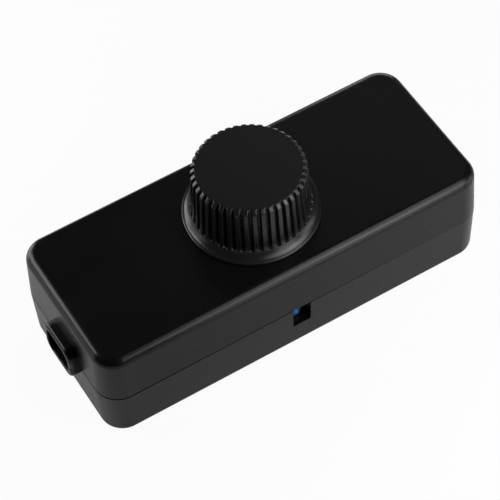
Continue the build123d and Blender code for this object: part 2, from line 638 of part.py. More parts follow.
def make_circuit_board():
    board = block(
        -BOARD_HALF_LENGTH, BOARD_HALF_LENGTH, -BOARD_WIDTH / 2, BOARD_WIDTH / 2, BOARD_UNDERSIDE, BOARD_TOP
    )
    for x, y in BOARD_SCREW_PLACES:
        board -= rod(BOARD_SCREW_RADIUS + SHANK_GAP, BOARD_UNDERSIDE, BOARD_TOP, x, y)
    for x in TERMINAL_XS:
        board -= rod(TERMINAL_WIDTH / 2 + PIN_HOLE_GAP, BOARD_UNDERSIDE, BOARD_TOP, x, TERMINAL_Y)
    for x in LEAD_XS:
        board -= rod(LEAD_SIZE / 2 + PIN_HOLE_GAP, BOARD_UNDERSIDE, BOARD_TOP, x, LEAD_Y)
    return board


def terminal_screw_places(side):
    """The screw wells of one terminal block."""
    x = side * (BLOCK_OUTER - BLOCK_DEPTH / 2)
    return [(x, y) for y in (-BLOCK_PITCH / 2, BLOCK_PITCH / 2)]


def make_terminal_block(side):
    inner = BLOCK_OUTER - BLOCK_DEPTH
    half = BLOCK_WIDTH / 2
    top = BOARD_TOP + BLOCK_HEIGHT
    body = block(inner, BLOCK_OUTER, -half, half, BOARD_TOP, top)
    body = chamfer(body.edges().filter_by(Axis.Y).group_by(Axis.Z)[-1], BLOCK_STEP / 2)
    for y in (-BLOCK_PITCH / 2, BLOCK_PITCH / 2):
        sill = BOARD_TOP + WIRE_ENTRY_SILL
        body -= block(
            BLOCK_OUTER - WIRE_ENTRY_DEPTH, BLOCK_OUTER, y - WIRE_ENTRY / 2, y + WIRE_ENTRY / 2,
            sill, sill + WIRE_ENTRY,
        )
    if side < 0:
        body = Rot(0, 0, 180) * body
    for x, y in terminal_screw_places(side):
        body -= rod(WELL_RADIUS, top - WELL_DEPTH, top, x, y)
    return body


def make_terminal_screws(side):
    floor = BOARD_TOP + BLOCK_HEIGHT - WELL_DEPTH
    top = floor + TERMINAL_SCREW_HEIGHT
    screws = []
    for x, y in terminal_screw_places(side):
        screw = rod(TERMINAL_SCREW_RADIUS, floor, top, x, y)
        reach = TERMINAL_SCREW_RADIUS
        slot = block(x - reach, x + reach, y - DRIVER_SLOT / 2, y + DRIVER_SLOT / 2, top - DRIVER_SLOT, top)
        screws.append(screw - slot)
    return Compound(children=screws)


def make_indicator_led():
    nose = Sphere(LED_RADIUS)
    barrel = Cylinder(LED_RADIUS, LED_LENGTH - LED_RADIUS, align=(Align.CENTER, Align.CENTER, Align.MAX))
    flange = Pos(0, 0, LED_RADIUS - LED_LENGTH) * Cylinder(LED_FLANGE_RADIUS, LED_FLANGE, align=BASE)
    lamp = nose + barrel + flange
    return Pos(0, LED_TIP + LED_RADIUS, LED_Z) * Rot(90, 0, 0) * lamp


def make_led_leads():
    half = LEAD_SIZE / 2
    leads = []
    for x in LEAD_XS:
        run = block(x - half, x + half, LED_BACK, LEAD_Y + half, LED_Z - half, LED_Z + half)
        drop = block(x - half, x + half, LEAD_Y - half, LEAD_Y + half, BOARD_UNDERSIDE - LEAD_TIP, LED_Z)
        leads.append(run + drop)
    return Compound(children=leads)


def axial_part(place, radius, length, cap=0.0, cap_growth=0.0):
    """A body that lies along X, with a bent wire at each end down to the board."""
    x, y = place
    centre = BOARD_TOP + radius + cap_growth + AXIAL_RISE
    along = Pos(x, y, centre) * Rot(0, 90, 0)
    body = along * Cylinder(radius, length)
    if cap:
        for side in (-1, 1):
            cap_x = x + side * (length - cap) / 2
            body += Pos(cap_x, y, centre) * Rot(0, 90, 0) * Cylinder(radius + cap_growth, cap)
    end = length / 2 + WIRE_STUB + WIRE_RADIUS
    front = y - WIRE_RADIUS
    rear = y + WIRE_RADIUS
    body += block(x - end, x + end, front, rear, centre - WIRE_RADIUS, centre + WIRE_RADIUS)
    for wire_x in (x - end, x + end - 2 * WIRE_RADIUS):
        body += block(wire_x, wire_x + 2 * WIRE_RADIUS, front, rear, BOARD_TOP, centre)
    return body


def make_capacitor():
    half = CAPACITOR_LENGTH / 2
    dip = CAPACITOR_GROOVE
    crimp = half - CAPACITOR_CRIMP
    sleeve = lathe([
        (0, -half), (CAPACITOR_RADIUS, -half), (CAPACITOR_RADIUS, crimp - dip),
        (CAPACITOR_RADIUS - dip, crimp), (CAPACITOR_RADIUS, crimp + dip), (CAPACITOR_RADIUS, half), (0, half),
    ])
    centre = BOARD_TOP + CAPACITOR_RADIUS
    body = Pos(CAPACITOR_X, 0, centre) * Rot(90, 0, 0) * sleeve
    for x in (CAPACITOR_X - LEAD_PITCH / 2, CAPACITOR_X + LEAD_PITCH / 2):
        end = -half - WIRE_STUB
        body += block(
            x - LEAD_SIZE / 2, x + LEAD_SIZE / 2, end, -half, centre - LEAD_SIZE / 2, centre + LEAD_SIZE / 2
        )
        body += block(x - LEAD_SIZE / 2, x + LEAD_SIZE / 2, end, end + LEAD_SIZE, BOARD_TOP, centre)
    return body


def make_choke():
    top = BOARD_TOP + CHOKE_HEIGHT
    low = BOARD_TOP + CHOKE_FLANGE
    high = top - CHOKE_FLANGE
    drum = lathe([
        (0, BOARD_TOP), (CHOKE_RADIUS, BOARD_TOP), (CHOKE_RADIUS, low), (CHOKE_WAIST, low),
        (CHOKE_WAIST, high), (CHOKE_RADIUS, high), (CHOKE_RADIUS, top), (0, top),
    ])
    return Pos(*CHOKE_PLACE, 0) * drum


def make_film_capacitor():
    x, y = FILM_PLACE
    body = Pos(x, y, BOARD_TOP) * Box(FILM_LENGTH, FILM_WIDTH, FILM_HEIGHT, align=BASE)
    return fillet(body.edges().filter_by(Axis.Z), FILM_CORNER)


def make_transistor(x, y):
    body = Pos(x, y, BOARD_TOP) * Box(TRANSISTOR_LENGTH, TRANSISTOR_WIDTH, TRANSISTOR_HEIGHT, align=BASE)
    body = chamfer(body.edges().group_by(Axis.Z)[-1], TRANSISTOR_BEVEL)
    tab_x = x + (TRANSISTOR_LENGTH + TRANSISTOR_TAB) / 2
    tab = Box(TRANSISTOR_TAB, TRANSISTOR_TAB_WIDTH, LEAD_SIZE, align=BASE)
    body += Pos(tab_x, y, BOARD_TOP) * tab
    for leg_y in (y - LEAD_PITCH, y + LEAD_PITCH):
        leg_x = x - (TRANSISTOR_LENGTH + TRANSISTOR_TAB) / 2
        body += Pos(leg_x, leg_y, BOARD_TOP) * Box(TRANSISTOR_TAB, LEAD_SIZE, LEAD_SIZE, align=BASE)
    return body


def make_control_chip():
    x, y = CHIP_PLACE
    chip = Pos(x, y, BOARD_TOP) * Box(CHIP_LENGTH, CHIP_WIDTH, CHIP_HEIGHT, align=BASE)
    chip = chamfer(chip.edges().group_by(Axis.Z)[-1], CHIP_BEVEL)
    row = (CHIP_PINS_PER_SIDE - 1) * CHIP_LEG_PITCH
    for index in range(CHIP_PINS_PER_SIDE):
        leg_x = x - row / 2 + index * CHIP_LEG_PITCH
        leg = Box(CHIP_LEG_WIDTH, CHIP_WIDTH + 2 * CHIP_LEG_REACH, CHIP_LEG_THICKNESS, align=BASE)
        chip += Pos(leg_x, y, BOARD_TOP) * leg
    return chip


def build_nodes():
    """Every separate piece of the dimmer, by its node name."""
    nodes = {
        "top_shell": make_top_shell(),
        "bottom_shell": make_bottom_shell(),
        "knob": make_knob(),
        "pot_shaft": make_pot_shaft(),
        "pot_wiper": make_pot_wiper(),
        "pot_bushing": make_pot_bushing(),
        "pot_can": make_pot_can(),
        "pot_wafer": make_pot_wafer(),
        "pot_terminals": make_pot_terminals(),
        "pot_washer": make_pot_washer(),
        "pot_nut": make_pot_nut(),
        "circuit_board": make_circuit_board(),
        "board_screws": make_board_screws(),
        "case_screws": make_case_screws(),
        "indicator_led": make_indicator_led(),
        "led_leads": make_led_leads(),
        "capacitor": make_capacitor(),
        "choke": make_choke(),
        "film_capacitor": make_film_capacitor(),
        "control_chip": make_control_chip(),
        "fuse": axial_part(FUSE_PLACE, FUSE_RADIUS, FUSE_LENGTH, FUSE_CAP, AXIAL_RISE),
        "diode": axial_part(DIODE_PLACE, DIODE_RADIUS, DIODE_LENGTH),
        "resistors": Compound(children=[
            axial_part(place, RESISTOR_RADIUS, RESISTOR_LENGTH) for place in RESISTOR_PLACES
        ]),
    }
    for name, side in (("transistor_front", -1), ("transistor_rear", 1)):
        nodes[name] = make_transistor(TRANSISTOR_X, side * TRANSISTOR_Y)
    for name, side in (("input", -1), ("output", 1)):
        nodes[name + "_cord_clamp"] = make_cord_clamp(side)
        nodes[name + "_clamp_screws"] = make_clamp_screws(side)
        nodes[name + "_terminal"] = make_terminal_block(side)
        nodes[name + "_terminal_screws"] = make_terminal_screws(side)
    return nodes


os.makedirs("parts", exist_ok=True)
for node, shape in build_nodes().items():
    export_step(shape, "parts/" + node + ".step")
    print(node, round(shape.volume, 1))
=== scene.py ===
# %% [markdown]
# # An in-line rotary dimmer for LED lamps
# The CAD model is the fixed frame of this scene: it says where every piece is and how it moves.
# Blender adds the looks around it. Everything is in metres, +X along the case and +Z up.

# %% Load the frame
import bmesh
import bpy
import json
from math import atan2, cos, pi, radians, sin, tan
from mathutils import Matrix, Vector


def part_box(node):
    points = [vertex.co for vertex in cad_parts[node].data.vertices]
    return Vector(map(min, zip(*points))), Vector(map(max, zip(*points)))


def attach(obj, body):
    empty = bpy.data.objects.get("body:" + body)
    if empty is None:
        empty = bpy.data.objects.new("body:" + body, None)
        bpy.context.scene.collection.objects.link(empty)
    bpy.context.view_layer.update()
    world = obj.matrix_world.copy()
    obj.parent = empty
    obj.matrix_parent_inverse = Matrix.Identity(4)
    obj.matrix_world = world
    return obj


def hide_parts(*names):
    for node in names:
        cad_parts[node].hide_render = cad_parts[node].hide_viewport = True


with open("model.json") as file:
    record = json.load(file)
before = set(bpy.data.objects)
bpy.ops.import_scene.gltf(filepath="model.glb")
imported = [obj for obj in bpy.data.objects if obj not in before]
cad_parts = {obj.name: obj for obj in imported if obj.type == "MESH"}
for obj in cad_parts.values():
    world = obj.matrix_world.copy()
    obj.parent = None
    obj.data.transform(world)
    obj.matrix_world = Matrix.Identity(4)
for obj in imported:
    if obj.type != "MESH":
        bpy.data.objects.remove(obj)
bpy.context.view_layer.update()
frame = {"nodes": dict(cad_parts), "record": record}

MM = 0.001
nodes = frame["nodes"]

# %% [markdown]
# ## The camera
# The camera comes first, because every later choice is judged through it. The case's outline in the
# photograph was fitted for direction, roll, distance and lens: a long lens from about half a metre,
# looking down at 54 degrees. Three angles could turn the camera as well, but three vectors show what
# they do: they are its axes, and roll turns two of them.

# %% Camera at the photograph's angle
AZIMUTH = radians(-27.85)
ELEVATION = radians(53.95)
ROLL = radians(-4.04)
DISTANCE = 0.4541
LENS = 161.95
NEAR_CLIP = 0.01
TONGUE_RISE = 1.0 * MM
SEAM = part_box("bottom_shell")[1].z - TONGUE_RISE
AIM_RIGHT = -0.83 * MM
AIM_UP = -0.93 * MM


def outward(azimuth, elevation):
    """The unit vector from the dimmer towards a direction; azimuth 0 is the front, which is -Y."""
    return Vector((sin(azimuth) * cos(elevation), -cos(azimuth) * cos(elevation), sin(elevation)))


back = outward(AZIMUTH, ELEVATION)
level = Vector((cos(AZIMUTH), sin(AZIMUTH), 0))
upright = back.cross(level)
right = cos(ROLL) * level + sin(ROLL) * upright
up = cos(ROLL) * upright - sin(ROLL) * level
place = Vector((0, 0, SEAM)) + back * DISTANCE + right * AIM_RIGHT + up * AIM_UP

camera = bpy.data.objects.new("camera", bpy.data.cameras.new("camera"))
bpy.context.scene.collection.objects.link(camera)
camera.data.lens = LENS
camera.data.clip_start = NEAR_CLIP
turned = Matrix((right, up, back)).transposed().to_4x4()
camera.matrix_world = Matrix.Translation(place) @ turned
bpy.context.scene.camera = camera
print("camera at", [round(v, 4) for v in place])

# %% [markdown]
# ## White floor, dark ceiling
# Black plastic shows little colour of its own, so what is seen is what it reflects. The upright walls
# mirror the floor close by, the rounded edges mirror the lamps, and the flat top mirrors the ceiling,
# which is dark in the photograph. Stronger lamps would whiten the floor, but they would grey the
# plastic too. Light Path does it without them: it makes the floor and the whole world white to the
# camera. Mirrored and transmitted rays get a small share of that white, from the floor and from the
# world's rim near the horizon, while the world overhead stays dim to them.

# %% White by Light Path
MIRROR_WHITE = 0.12


def join_socket(tree, source, target):
    """Link two sockets of a node tree."""
    tree.links.new(source, target)


def maths(tree, operation, *values):
    """A maths node; each value is a number or another node's output."""
    node = tree.nodes.new("ShaderNodeMath")
    node.operation = operation
    for index, value in enumerate(values):
        if isinstance(value, (int, float)):
            node.inputs[index].default_value = value
        else:
            join_socket(tree, value, node.inputs[index])
    return node.outputs[0]


def white_share(tree, direct):
    """How white the backdrop is: direct to the camera, less where mirrored or seen through."""
    path = tree.nodes.new("ShaderNodeLightPath").outputs
    indirect = maths(tree, "MAXIMUM", path["Is Glossy Ray"], path["Is Transmission Ray"])
    mirrored = maths(tree, "MULTIPLY", indirect, MIRROR_WHITE)
    return maths(tree, "MAXIMUM", maths(tree, "MULTIPLY", path["Is Camera Ray"], direct), mirrored)


print("mirrored share of the white", MIRROR_WHITE)

# %% [markdown]
# The floor mixes two shaders by that share: a pale matt one, which takes the shadow and the lamps'
# light, and a white glow. The camera sees a little less than the whole glow, so the shadow stays.

# %% The floor
FLOOR_HALF = 1.2
FLOOR_TONE = (0.74, 0.74, 0.74, 1)
FLOOR_ROUGHNESS = 0.9
FLOOR_WHITE = 0.94


def make_floor():
    """A plain pale floor that renders white to the camera but still takes the shadow."""
    mesh = bpy.data.meshes.new("floor")
    h = FLOOR_HALF
    mesh.from_pydata([(-h, -h, 0), (h, -h, 0), (h, h, 0), (-h, h, 0)], [], [(0, 1, 2, 3)])
    floor = bpy.data.objects.new("floor", mesh)
    bpy.context.scene.collection.objects.link(floor)
    material = bpy.data.materials.new("pale_floor")
    material.use_nodes = True
    tree = material.node_tree
    surface = tree.nodes["Principled BSDF"]
    surface.inputs["Base Color"].default_value = FLOOR_TONE
    surface.inputs["Roughness"].default_value = FLOOR_ROUGHNESS
    glow = tree.nodes.new("ShaderNodeEmission")
    glow.inputs["Strength"].default_value = 1.0
    mix = tree.nodes.new("ShaderNodeMixShader")
    join_socket(tree, white_share(tree, FLOOR_WHITE), mix.inputs[0])
    join_socket(tree, surface.outputs[0], mix.inputs[1])
    join_socket(tree, glow.outputs[0], mix.inputs[2])
    join_socket(tree, mix.outputs[0], tree.nodes["Material Output"].inputs["Surface"])
    floor.data.materials.append(material)
    return floor


print("floor tile", make_floor().name, 2 * FLOOR_HALF, "m wide")

# %% [markdown]
# The world could be a picture of a studio. Numbers do as well here, because a satin black surface shows
# only how bright a direction is: the height of a direction, from Generated's Z, tells the rim from the
# ceiling, and one Map Range turns the share of white into the background's strength.

# %% The world
ROOM_LEVEL = 0.03
RIM_HEIGHT = sin(radians(12))

world = bpy.data.worlds.new("studio")
bpy.context.scene.world = world
world.use_nodes = True
sky = world.node_tree
sky.nodes["Background"].inputs["Color"].default_value = (1, 1, 1, 1)
heading = sky.nodes.new("ShaderNodeSeparateXYZ")
join_socket(sky, sky.nodes.new("ShaderNodeTexCoord").outputs["Generated"], heading.inputs[0])
rim = sky.nodes.new("ShaderNodeMapRange")
rim.inputs["From Min"].default_value = RIM_HEIGHT
rim.inputs["From Max"].default_value = 0.0
join_socket(sky, heading.outputs["Z"], rim.inputs["Value"])
is_camera = sky.nodes.new("ShaderNodeLightPath").outputs["Is Camera Ray"]
where_white = maths(sky, "MAXIMUM", is_camera, rim.outputs["Result"])
strength = sky.nodes.new("ShaderNodeMapRange")
strength.inputs["To Min"].default_value = ROOM_LEVEL
strength.inputs["To Max"].default_value = 1.0
white = maths(sky, "MULTIPLY", white_share(sky, 1.0), where_white)
join_socket(sky, white, strength.inputs["Value"])
join_socket(sky, strength.outputs["Result"], sky.nodes["Background"].inputs["Strength"])
bpy.context.scene.view_settings.view_transform = "Standard"
print("world from", ROOM_LEVEL, "overhead to 1.0 at the camera")

# %% [markdown]
# ## The lamps
# Area lamps do the rest, all aimed at the dimmer, and the highlights in the photograph decide where
# they stand: around it near the floor for the walls and the flared foot of the knob, higher up for the
# rounded edges, and one weak box behind for the flat top. The lit floor is what the walls mirror, so
# the lamps that reach it set their tone. There are three kinds of box, each with its distance, width
# and height: large ones far off, small ones near by, and a tall one.

# %% Soft boxes
FAR_BOX = (0.30, 0.15, 0.11)
NEAR_BOX = (0.16, 0.08, 0.06)
TALL_BOX = (0.16, 0.08, 0.14)
SOFT_BOXES = {
    "top_right_box": ((45, 60), FAR_BOX, 0.172),
    "back_right_box": ((143, 16), FAR_BOX, 0.17),
    "roof_box": ((140, 49), FAR_BOX, 0.012),
    "floor_left_box": ((-120, 5), FAR_BOX, 0.086),
    "tall_front_box": ((20, 26), TALL_BOX, 0.088),
    "front_right_box": ((40, 35), NEAR_BOX, 0.062),
    "front_left_box": ((10, 42), NEAR_BOX, 0.030),
    "right_low_box": ((60, 12), NEAR_BOX, 0.035),
    "back_left_box": ((-130, 35), NEAR_BOX, 0.092),
    "back_left_low_box": ((-150, 14), NEAR_BOX, 0.065),
}


def soft_box(name, direction, distance, width, height, power):
    """An area lamp at (azimuth, elevation) in degrees, aimed at the floor under the case's middle."""
    azimuth, elevation = (radians(angle) for angle in direction)
    out = outward(azimuth, elevation)
    data = bpy.data.lights.new(name, "AREA")
    data.shape = "RECTANGLE"
    data.size = width
    data.size_y = height
    data.energy = power
    lamp = bpy.data.objects.new(name, data)
    bpy.context.scene.collection.objects.link(lamp)
    facing = out.to_track_quat("Z", "Y").to_matrix().to_4x4()
    lamp.matrix_world = Matrix.Translation(out * distance) @ facing
    return lamp


for name, (direction, size, power) in SOFT_BOXES.items():
    soft_box(name, direction, *size, power)
print("lamps", [lamp.name for lamp in bpy.data.lights])

# %% [markdown]
# ## Moulded black plastic
# The case and the knob are moulded in satin black. The mould was spark-eroded, so the skin has a very
# fine grain, and its gloss wanders a little. A scanned texture could give that, but it needs a picture
# and an unwrapped mesh. Noise on Object coordinates needs neither: a fine one drives the bump, a broad
# one the roughness. Values that are the same all over sit on the shader's own sockets.

# %% Helpers for materials
NOISE_LOW = 0.3
NOISE_HIGH = 0.7


def new_material(name, colour, roughness, metallic=0.0):
    """A Principled material with its constants set, returned with its tree and its shader."""
    material = bpy.data.materials.new(name)
    material.use_nodes = True
    shader = material.node_tree.nodes["Principled BSDF"]
    shader.inputs["Base Color"].default_value = (*colour, 1)
    shader.inputs["Roughness"].default_value = roughness
    shader.inputs["Metallic"].default_value = metallic
    return material, material.node_tree, shader


def noise(tree, scale, detail=3.0, squeeze=(1, 1, 1)):
    """A noise texture on Object coordinates; squeeze packs it closer along an axis."""
    where = tree.nodes.new("ShaderNodeTexCoord")
    mapping = tree.nodes.new("ShaderNodeMapping")
    mapping.inputs["Scale"].default_value = squeeze
    texture = tree.nodes.new("ShaderNodeTexNoise")
    texture.inputs["Scale"].default_value = scale
    texture.inputs["Detail"].default_value = detail
    join_socket(tree, where.outputs["Object"], mapping.inputs["Vector"])
    join_socket(tree, mapping.outputs["Vector"], texture.inputs["Vector"])
    return texture.outputs["Fac"]


def remap(tree, value, low, high):
    """Stretch a noise, which keeps mostly to a middle range, so that it runs from low to high."""
    node = tree.nodes.new("ShaderNodeMapRange")
    node.inputs["From Min"].default_value = NOISE_LOW
    node.inputs["From Max"].default_value = NOISE_HIGH
    node.inputs["To Min"].default_value = low
    node.inputs["To Max"].default_value = high
    join_socket(tree, value, node.inputs["Value"])
    return node.outputs["Result"]


def add_bump(tree, shader, height, depth):
    """Bump a shader with a height from 0 to 1; depth is what 1 stands for, in metres."""
    bump = tree.nodes.new("ShaderNodeBump")
    bump.inputs["Strength"].default_value = 1.0
    bump.inputs["Distance"].default_value = depth
    join_socket(tree, height, bump.inputs["Height"])
    join_socket(tree, bump.outputs["Normal"], shader.inputs["Normal"])


print("a noise is stretched from", NOISE_LOW, "to", NOISE_HIGH)

# %% Satin black plastics
CASE_BLACK = (0.0032, 0.0032, 0.0034)
KNOB_BLACK = (0.0075, 0.0075, 0.0079)
CASE_GLOSS = 0.26
KNOB_GLOSS = 0.38
GRAIN_DEPTH = 0.004 * MM
GLOSS_SCALE = 90.0


def moulded_plastic(name, colour, gloss, smoothest, roughest, grain):
    """Satin moulded plastic with a fine eroded grain and a wandering gloss."""
    material, tree, shader = new_material(name, colour, smoothest)
    shader.inputs["Specular IOR Level"].default_value = gloss
    wander = remap(tree, noise(tree, GLOSS_SCALE), smoothest, roughest)
    join_socket(tree, wander, shader.inputs["Roughness"])
    add_bump(tree, shader, noise(tree, grain), GRAIN_DEPTH)
    return material


case_plastic = moulded_plastic("case_plastic", CASE_BLACK, CASE_GLOSS,
                               smoothest=0.24, roughest=0.29, grain=4500.0)
knob_plastic = moulded_plastic("knob_plastic", KNOB_BLACK, KNOB_GLOSS,
                               smoothest=0.25, roughest=0.30, grain=5000.0)
print("plastics", case_plastic.name, knob_plastic.name)

# %% [markdown]
# ## The case's half shells
# A half shell is one closed section carried round a rounded rectangle. A box with Bevel and Solidify
# modifiers would give its outside, but not the rebate at the seam, so it is built ring by ring: each
# ring is set in from the outline at the seam and lies at its own height. Draft, rounded edge, wall,
# tongue and rebate are all rows of that one section.

# %% Rings and lofts
def rounded_ring(length, width, radius, steps):
    """Points of a rounded rectangle, anticlockwise."""
    ring = []
    for index, (sx, sy) in enumerate(((1, 1), (-1, 1), (-1, -1), (1, -1))):
        centre_x = sx * (length / 2 - radius)
        centre_y = sy * (width / 2 - radius)
        for step in range(steps + 1):
            angle = pi / 2 * (index + step / steps)
            ring.append((centre_x + radius * cos(angle), centre_y + radius * sin(angle)))
    return ring


def add_object(name, mesh, material=None):
    """Link a new object for a mesh, in a material if one is given."""
    thing = bpy.data.objects.new(name, mesh)
    bpy.context.scene.collection.objects.link(thing)
    if material:
        mesh.materials.append(material)
    return thing


def loft(name, rows, material=None):
    """A closed solid from rows of equally many points, with its two ends capped."""
    count = len(rows[0])
    verts = [point for row in rows for point in row]
    faces = [tuple(range(count))[::-1], tuple(range(len(verts) - count, len(verts)))]
    for r in range(len(rows) - 1):
        for c in range(count):
            n = (c + 1) % count
            faces.append((r * count + c, r * count + n, (r + 1) * count + n, (r + 1) * count + c))
    mesh = bpy.data.meshes.new(name)
    mesh.from_pydata(verts, [], faces)
    form = bmesh.new()
    form.from_mesh(mesh)
    bmesh.ops.recalc_face_normals(form, faces=form.faces)
    form.to_mesh(mesh)
    form.free()
    return add_object(name, mesh, material)


print("a small ring has", len(rounded_ring(2.0, 1.0, 0.2, 2)), "points")

# %% [markdown]
# The seam is an open gap between the two halves, as wide as their two lips. In the photograph it
# fades towards the right end, as if the halves were pressed closer there, so the lip's height falls
# along X.

# %% The two halves
CASE_LENGTH = 87.6 * MM
CASE_WIDTH = 36.0 * MM
CORNER_RADIUS = 5.3 * MM
LEAST_CORNER = 0.2 * MM
WALL = 2.0 * MM
CASE_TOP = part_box("top_shell")[1].z
DRAFT = radians(2.0)
TOP_EDGE = 2.0 * MM
BOTTOM_EDGE = 1.5 * MM
SEAM_LIP = 0.18 * MM
SEAM_CLOSING = 0.95
SEAM_DEPTH = 0.45 * MM
CORNER_STEPS = 14
EDGE_STEPS = 8
TONGUE = 0.9 * MM
TONGUE_GAP = 0.1 * MM
TONGUE_ROOT = 0.05 * MM


def shell_ring(inset, rise, side):
    """One ring of the case, set in from its outline; side is 1 above the seam and -1 below it."""
    corner = max(CORNER_RADIUS - inset, LEAST_CORNER)
    flat = rounded_ring(CASE_LENGTH - 2 * inset, CASE_WIDTH - 2 * inset, corner, CORNER_STEPS)
    if rise != SEAM_LIP:
        return [(x, y, SEAM + side * rise) for x, y in flat]
    ring = []
    for x, y in flat:
        # None of the closing at the left end, all of it at the right end.
        closing = SEAM_CLOSING * (0.5 + x / CASE_LENGTH)
        ring.append((x, y, SEAM + side * SEAM_LIP * (1 - closing)))
    return ring


def half_section(height, skin, edge, tongue_rise, tongue_inset):
    """A half shell's section as (inset, height from the seam), from its far face to its inside."""
    start = height - edge + edge * sin(DRAFT)
    middle = start * tan(DRAFT) + edge * cos(DRAFT)
    ledge = max(tongue_rise, 0.0)
    rows = []
    for step in range(EDGE_STEPS + 1):
        angle = pi / 2 - (pi / 2 - DRAFT) * step / EDGE_STEPS
        rows.append((middle - edge * cos(angle), height - edge + edge * sin(angle)))
    rows.append((SEAM_LIP * tan(DRAFT), SEAM_LIP))
    rows.append((SEAM_DEPTH, SEAM_LIP))
    rows.append((SEAM_DEPTH, 0.0))
    rows.append((tongue_inset, 0.0))
    rows.append((tongue_inset, tongue_rise))
    rows.append((WALL, tongue_rise))
    rows.append((WALL + ledge * tan(DRAFT), ledge + TONGUE_ROOT))
    rows.append((WALL + (height - skin) * tan(DRAFT), height - skin))
    return rows


rebate = (TONGUE_RISE + TONGUE_GAP, WALL - TONGUE - TONGUE_GAP)
top_section = half_section(CASE_TOP - SEAM, WALL, TOP_EDGE, *rebate)
bottom_section = half_section(SEAM, WALL, BOTTOM_EDGE, -TONGUE_RISE, WALL - TONGUE)
top_shell = loft("case_top", [shell_ring(i, h, 1) for i, h in top_section], case_plastic)
bottom_shell = loft("case_bottom", [shell_ring(i, h, -1) for i, h in bottom_section], case_plastic)
print("section rows", len(top_section), len(bottom_section))

# %% [markdown]
# ## Collars, bosses and openings
# Collars, bosses and openings could be modelled into the shells' faces, at the price of many odd faces
# to place by hand. Exact booleans join and cut clean solids instead, and every helper object is deleted
# once its shape is in the shell.

# %% Boolean tools
ROUND_STEPS = 32


def apply_modifiers(thing):
    """Turn an object's modifiers into its plain mesh."""
    graph = bpy.context.evaluated_depsgraph_get()
    mesh = bpy.data.meshes.new_from_object(thing.evaluated_get(graph))
    old = thing.data
    thing.modifiers.clear()
    thing.data = mesh
    bpy.data.meshes.remove(old)
    return thing


def combine(thing, tools, operation):
    """Join, cut or clip an object with helper solids, then delete the helpers."""
    for tool in tools:
        modifier = thing.modifiers.new("join", "BOOLEAN")
        modifier.operation = operation
        modifier.solver = "EXACT"
        modifier.object = tool
    apply_modifiers(thing)
    for tool in tools:
        mesh = tool.data
        bpy.data.objects.remove(tool)
        bpy.data.meshes.remove(mesh)
    return thing


def turns(count):
    """Evenly spaced angles round a full turn."""
    return [2 * pi * step / count for step in range(count)]


def box_solid(x0, x1, y0, y1, z0, z1):
    """A plain box, used as a cutting tool."""
    rows = [[(x0, y0, z), (x1, y0, z), (x1, y1, z), (x0, y1, z)] for z in (z0, z1)]
    return loft("tool", rows)


def rod_solid(radius, z0, z1, x=0.0, y=0.0):
    """An upright round tool."""
    circle = [(x + radius * cos(turn), y + radius * sin(turn)) for turn in turns(ROUND_STEPS)]
    return loft("tool", [[(px, py, z) for px, py in circle] for z in (z0, z1)])


print("round tools have", ROUND_STEPS, "sides")

# %% [markdown]
# The collar round each cord entry is a rounded block that the seam parts in two. It is lofted along X,
# with its outer edge rounded by rings that step in. The cord's passage through it is made in the same
# way, and its mouth flares a little.

# %% Collars and passages
ENTRY_Y = -0.9 * MM
COLLAR_WIDTH = 10.8 * MM
COLLAR_HEIGHT = 8.4 * MM
COLLAR_REACH = 1.9 * MM
COLLAR_CORNER = 2.5 * MM
COLLAR_EDGE = 0.75 * MM
COLLAR_EDGE_STEPS = 6
ENTRY_WIDTH = 8.5 * MM
ENTRY_HEIGHT = 6.1 * MM
ENTRY_CORNER = 2.0 * MM
MOUTH_ROUND = 0.25 * MM
MOUTH_STEPS = 4
LEAST_ROUND = 0.1 * MM
OVERSHOOT = 1.0 * MM
BEYOND = 0.2
ENTRY_STEPS = 8


def along_x(side, rows):
    """A loft along X: each row is (distance from the case's middle, inset, width, height, radius)."""
    rings = []
    for x, inset, width, height, radius in rows:
        corner = max(radius - inset, LEAST_ROUND)
        flat = rounded_ring(width - 2 * inset, height - 2 * inset, corner, ENTRY_STEPS)
        rings.append([(side * x, ENTRY_Y + side * y, SEAM + z) for y, z in flat])
    return loft("tool", rings)


def collar_solid(side):
    """The whole collar of one end, before the seam parts it."""
    end = CASE_LENGTH / 2
    face = end + COLLAR_REACH
    size = (COLLAR_WIDTH, COLLAR_HEIGHT, COLLAR_CORNER)
    rows = [(end - WALL, 0.0, *size), (face - COLLAR_EDGE, 0.0, *size)]
    for step in range(1, COLLAR_EDGE_STEPS + 1):
        angle = pi / 2 * step / COLLAR_EDGE_STEPS
        inset = COLLAR_EDGE * (1 - cos(angle))
        rows.append((face - COLLAR_EDGE * (1 - sin(angle)), inset, *size))
    return along_x(side, rows)


def passage_solid(side):
    """The cord's way in, with a slightly rounded mouth."""
    end = CASE_LENGTH / 2
    face = end + COLLAR_REACH
    size = (ENTRY_WIDTH, ENTRY_HEIGHT, ENTRY_CORNER)
    rows = [(end - WALL - OVERSHOOT, 0.0, *size), (face - MOUTH_ROUND, 0.0, *size)]
    for step in range(1, MOUTH_STEPS + 1):
        angle = pi / 2 * step / MOUTH_STEPS
        inset = -MOUTH_ROUND * (1 - cos(angle))
        rows.append((face - MOUTH_ROUND * (1 - sin(angle)), inset, *size))
    rows.append((face + OVERSHOOT, -MOUTH_ROUND, *size))
    return along_x(side, rows)


def half_collars(above):
    """Both collars, clipped to one side of the seam."""
    limits = (SEAM, SEAM + BEYOND) if above else (SEAM - BEYOND, SEAM)
    halves = []
    for side in (-1, 1):
        collar = collar_solid(side)
        kept = box_solid(-BEYOND, BEYOND, -BEYOND, BEYOND, *limits)
        halves.append(combine(collar, [kept], "INTERSECT"))
    return halves


print("collars reach", round((CASE_LENGTH / 2 + COLLAR_REACH) / MM, 2), "mm from the middle")

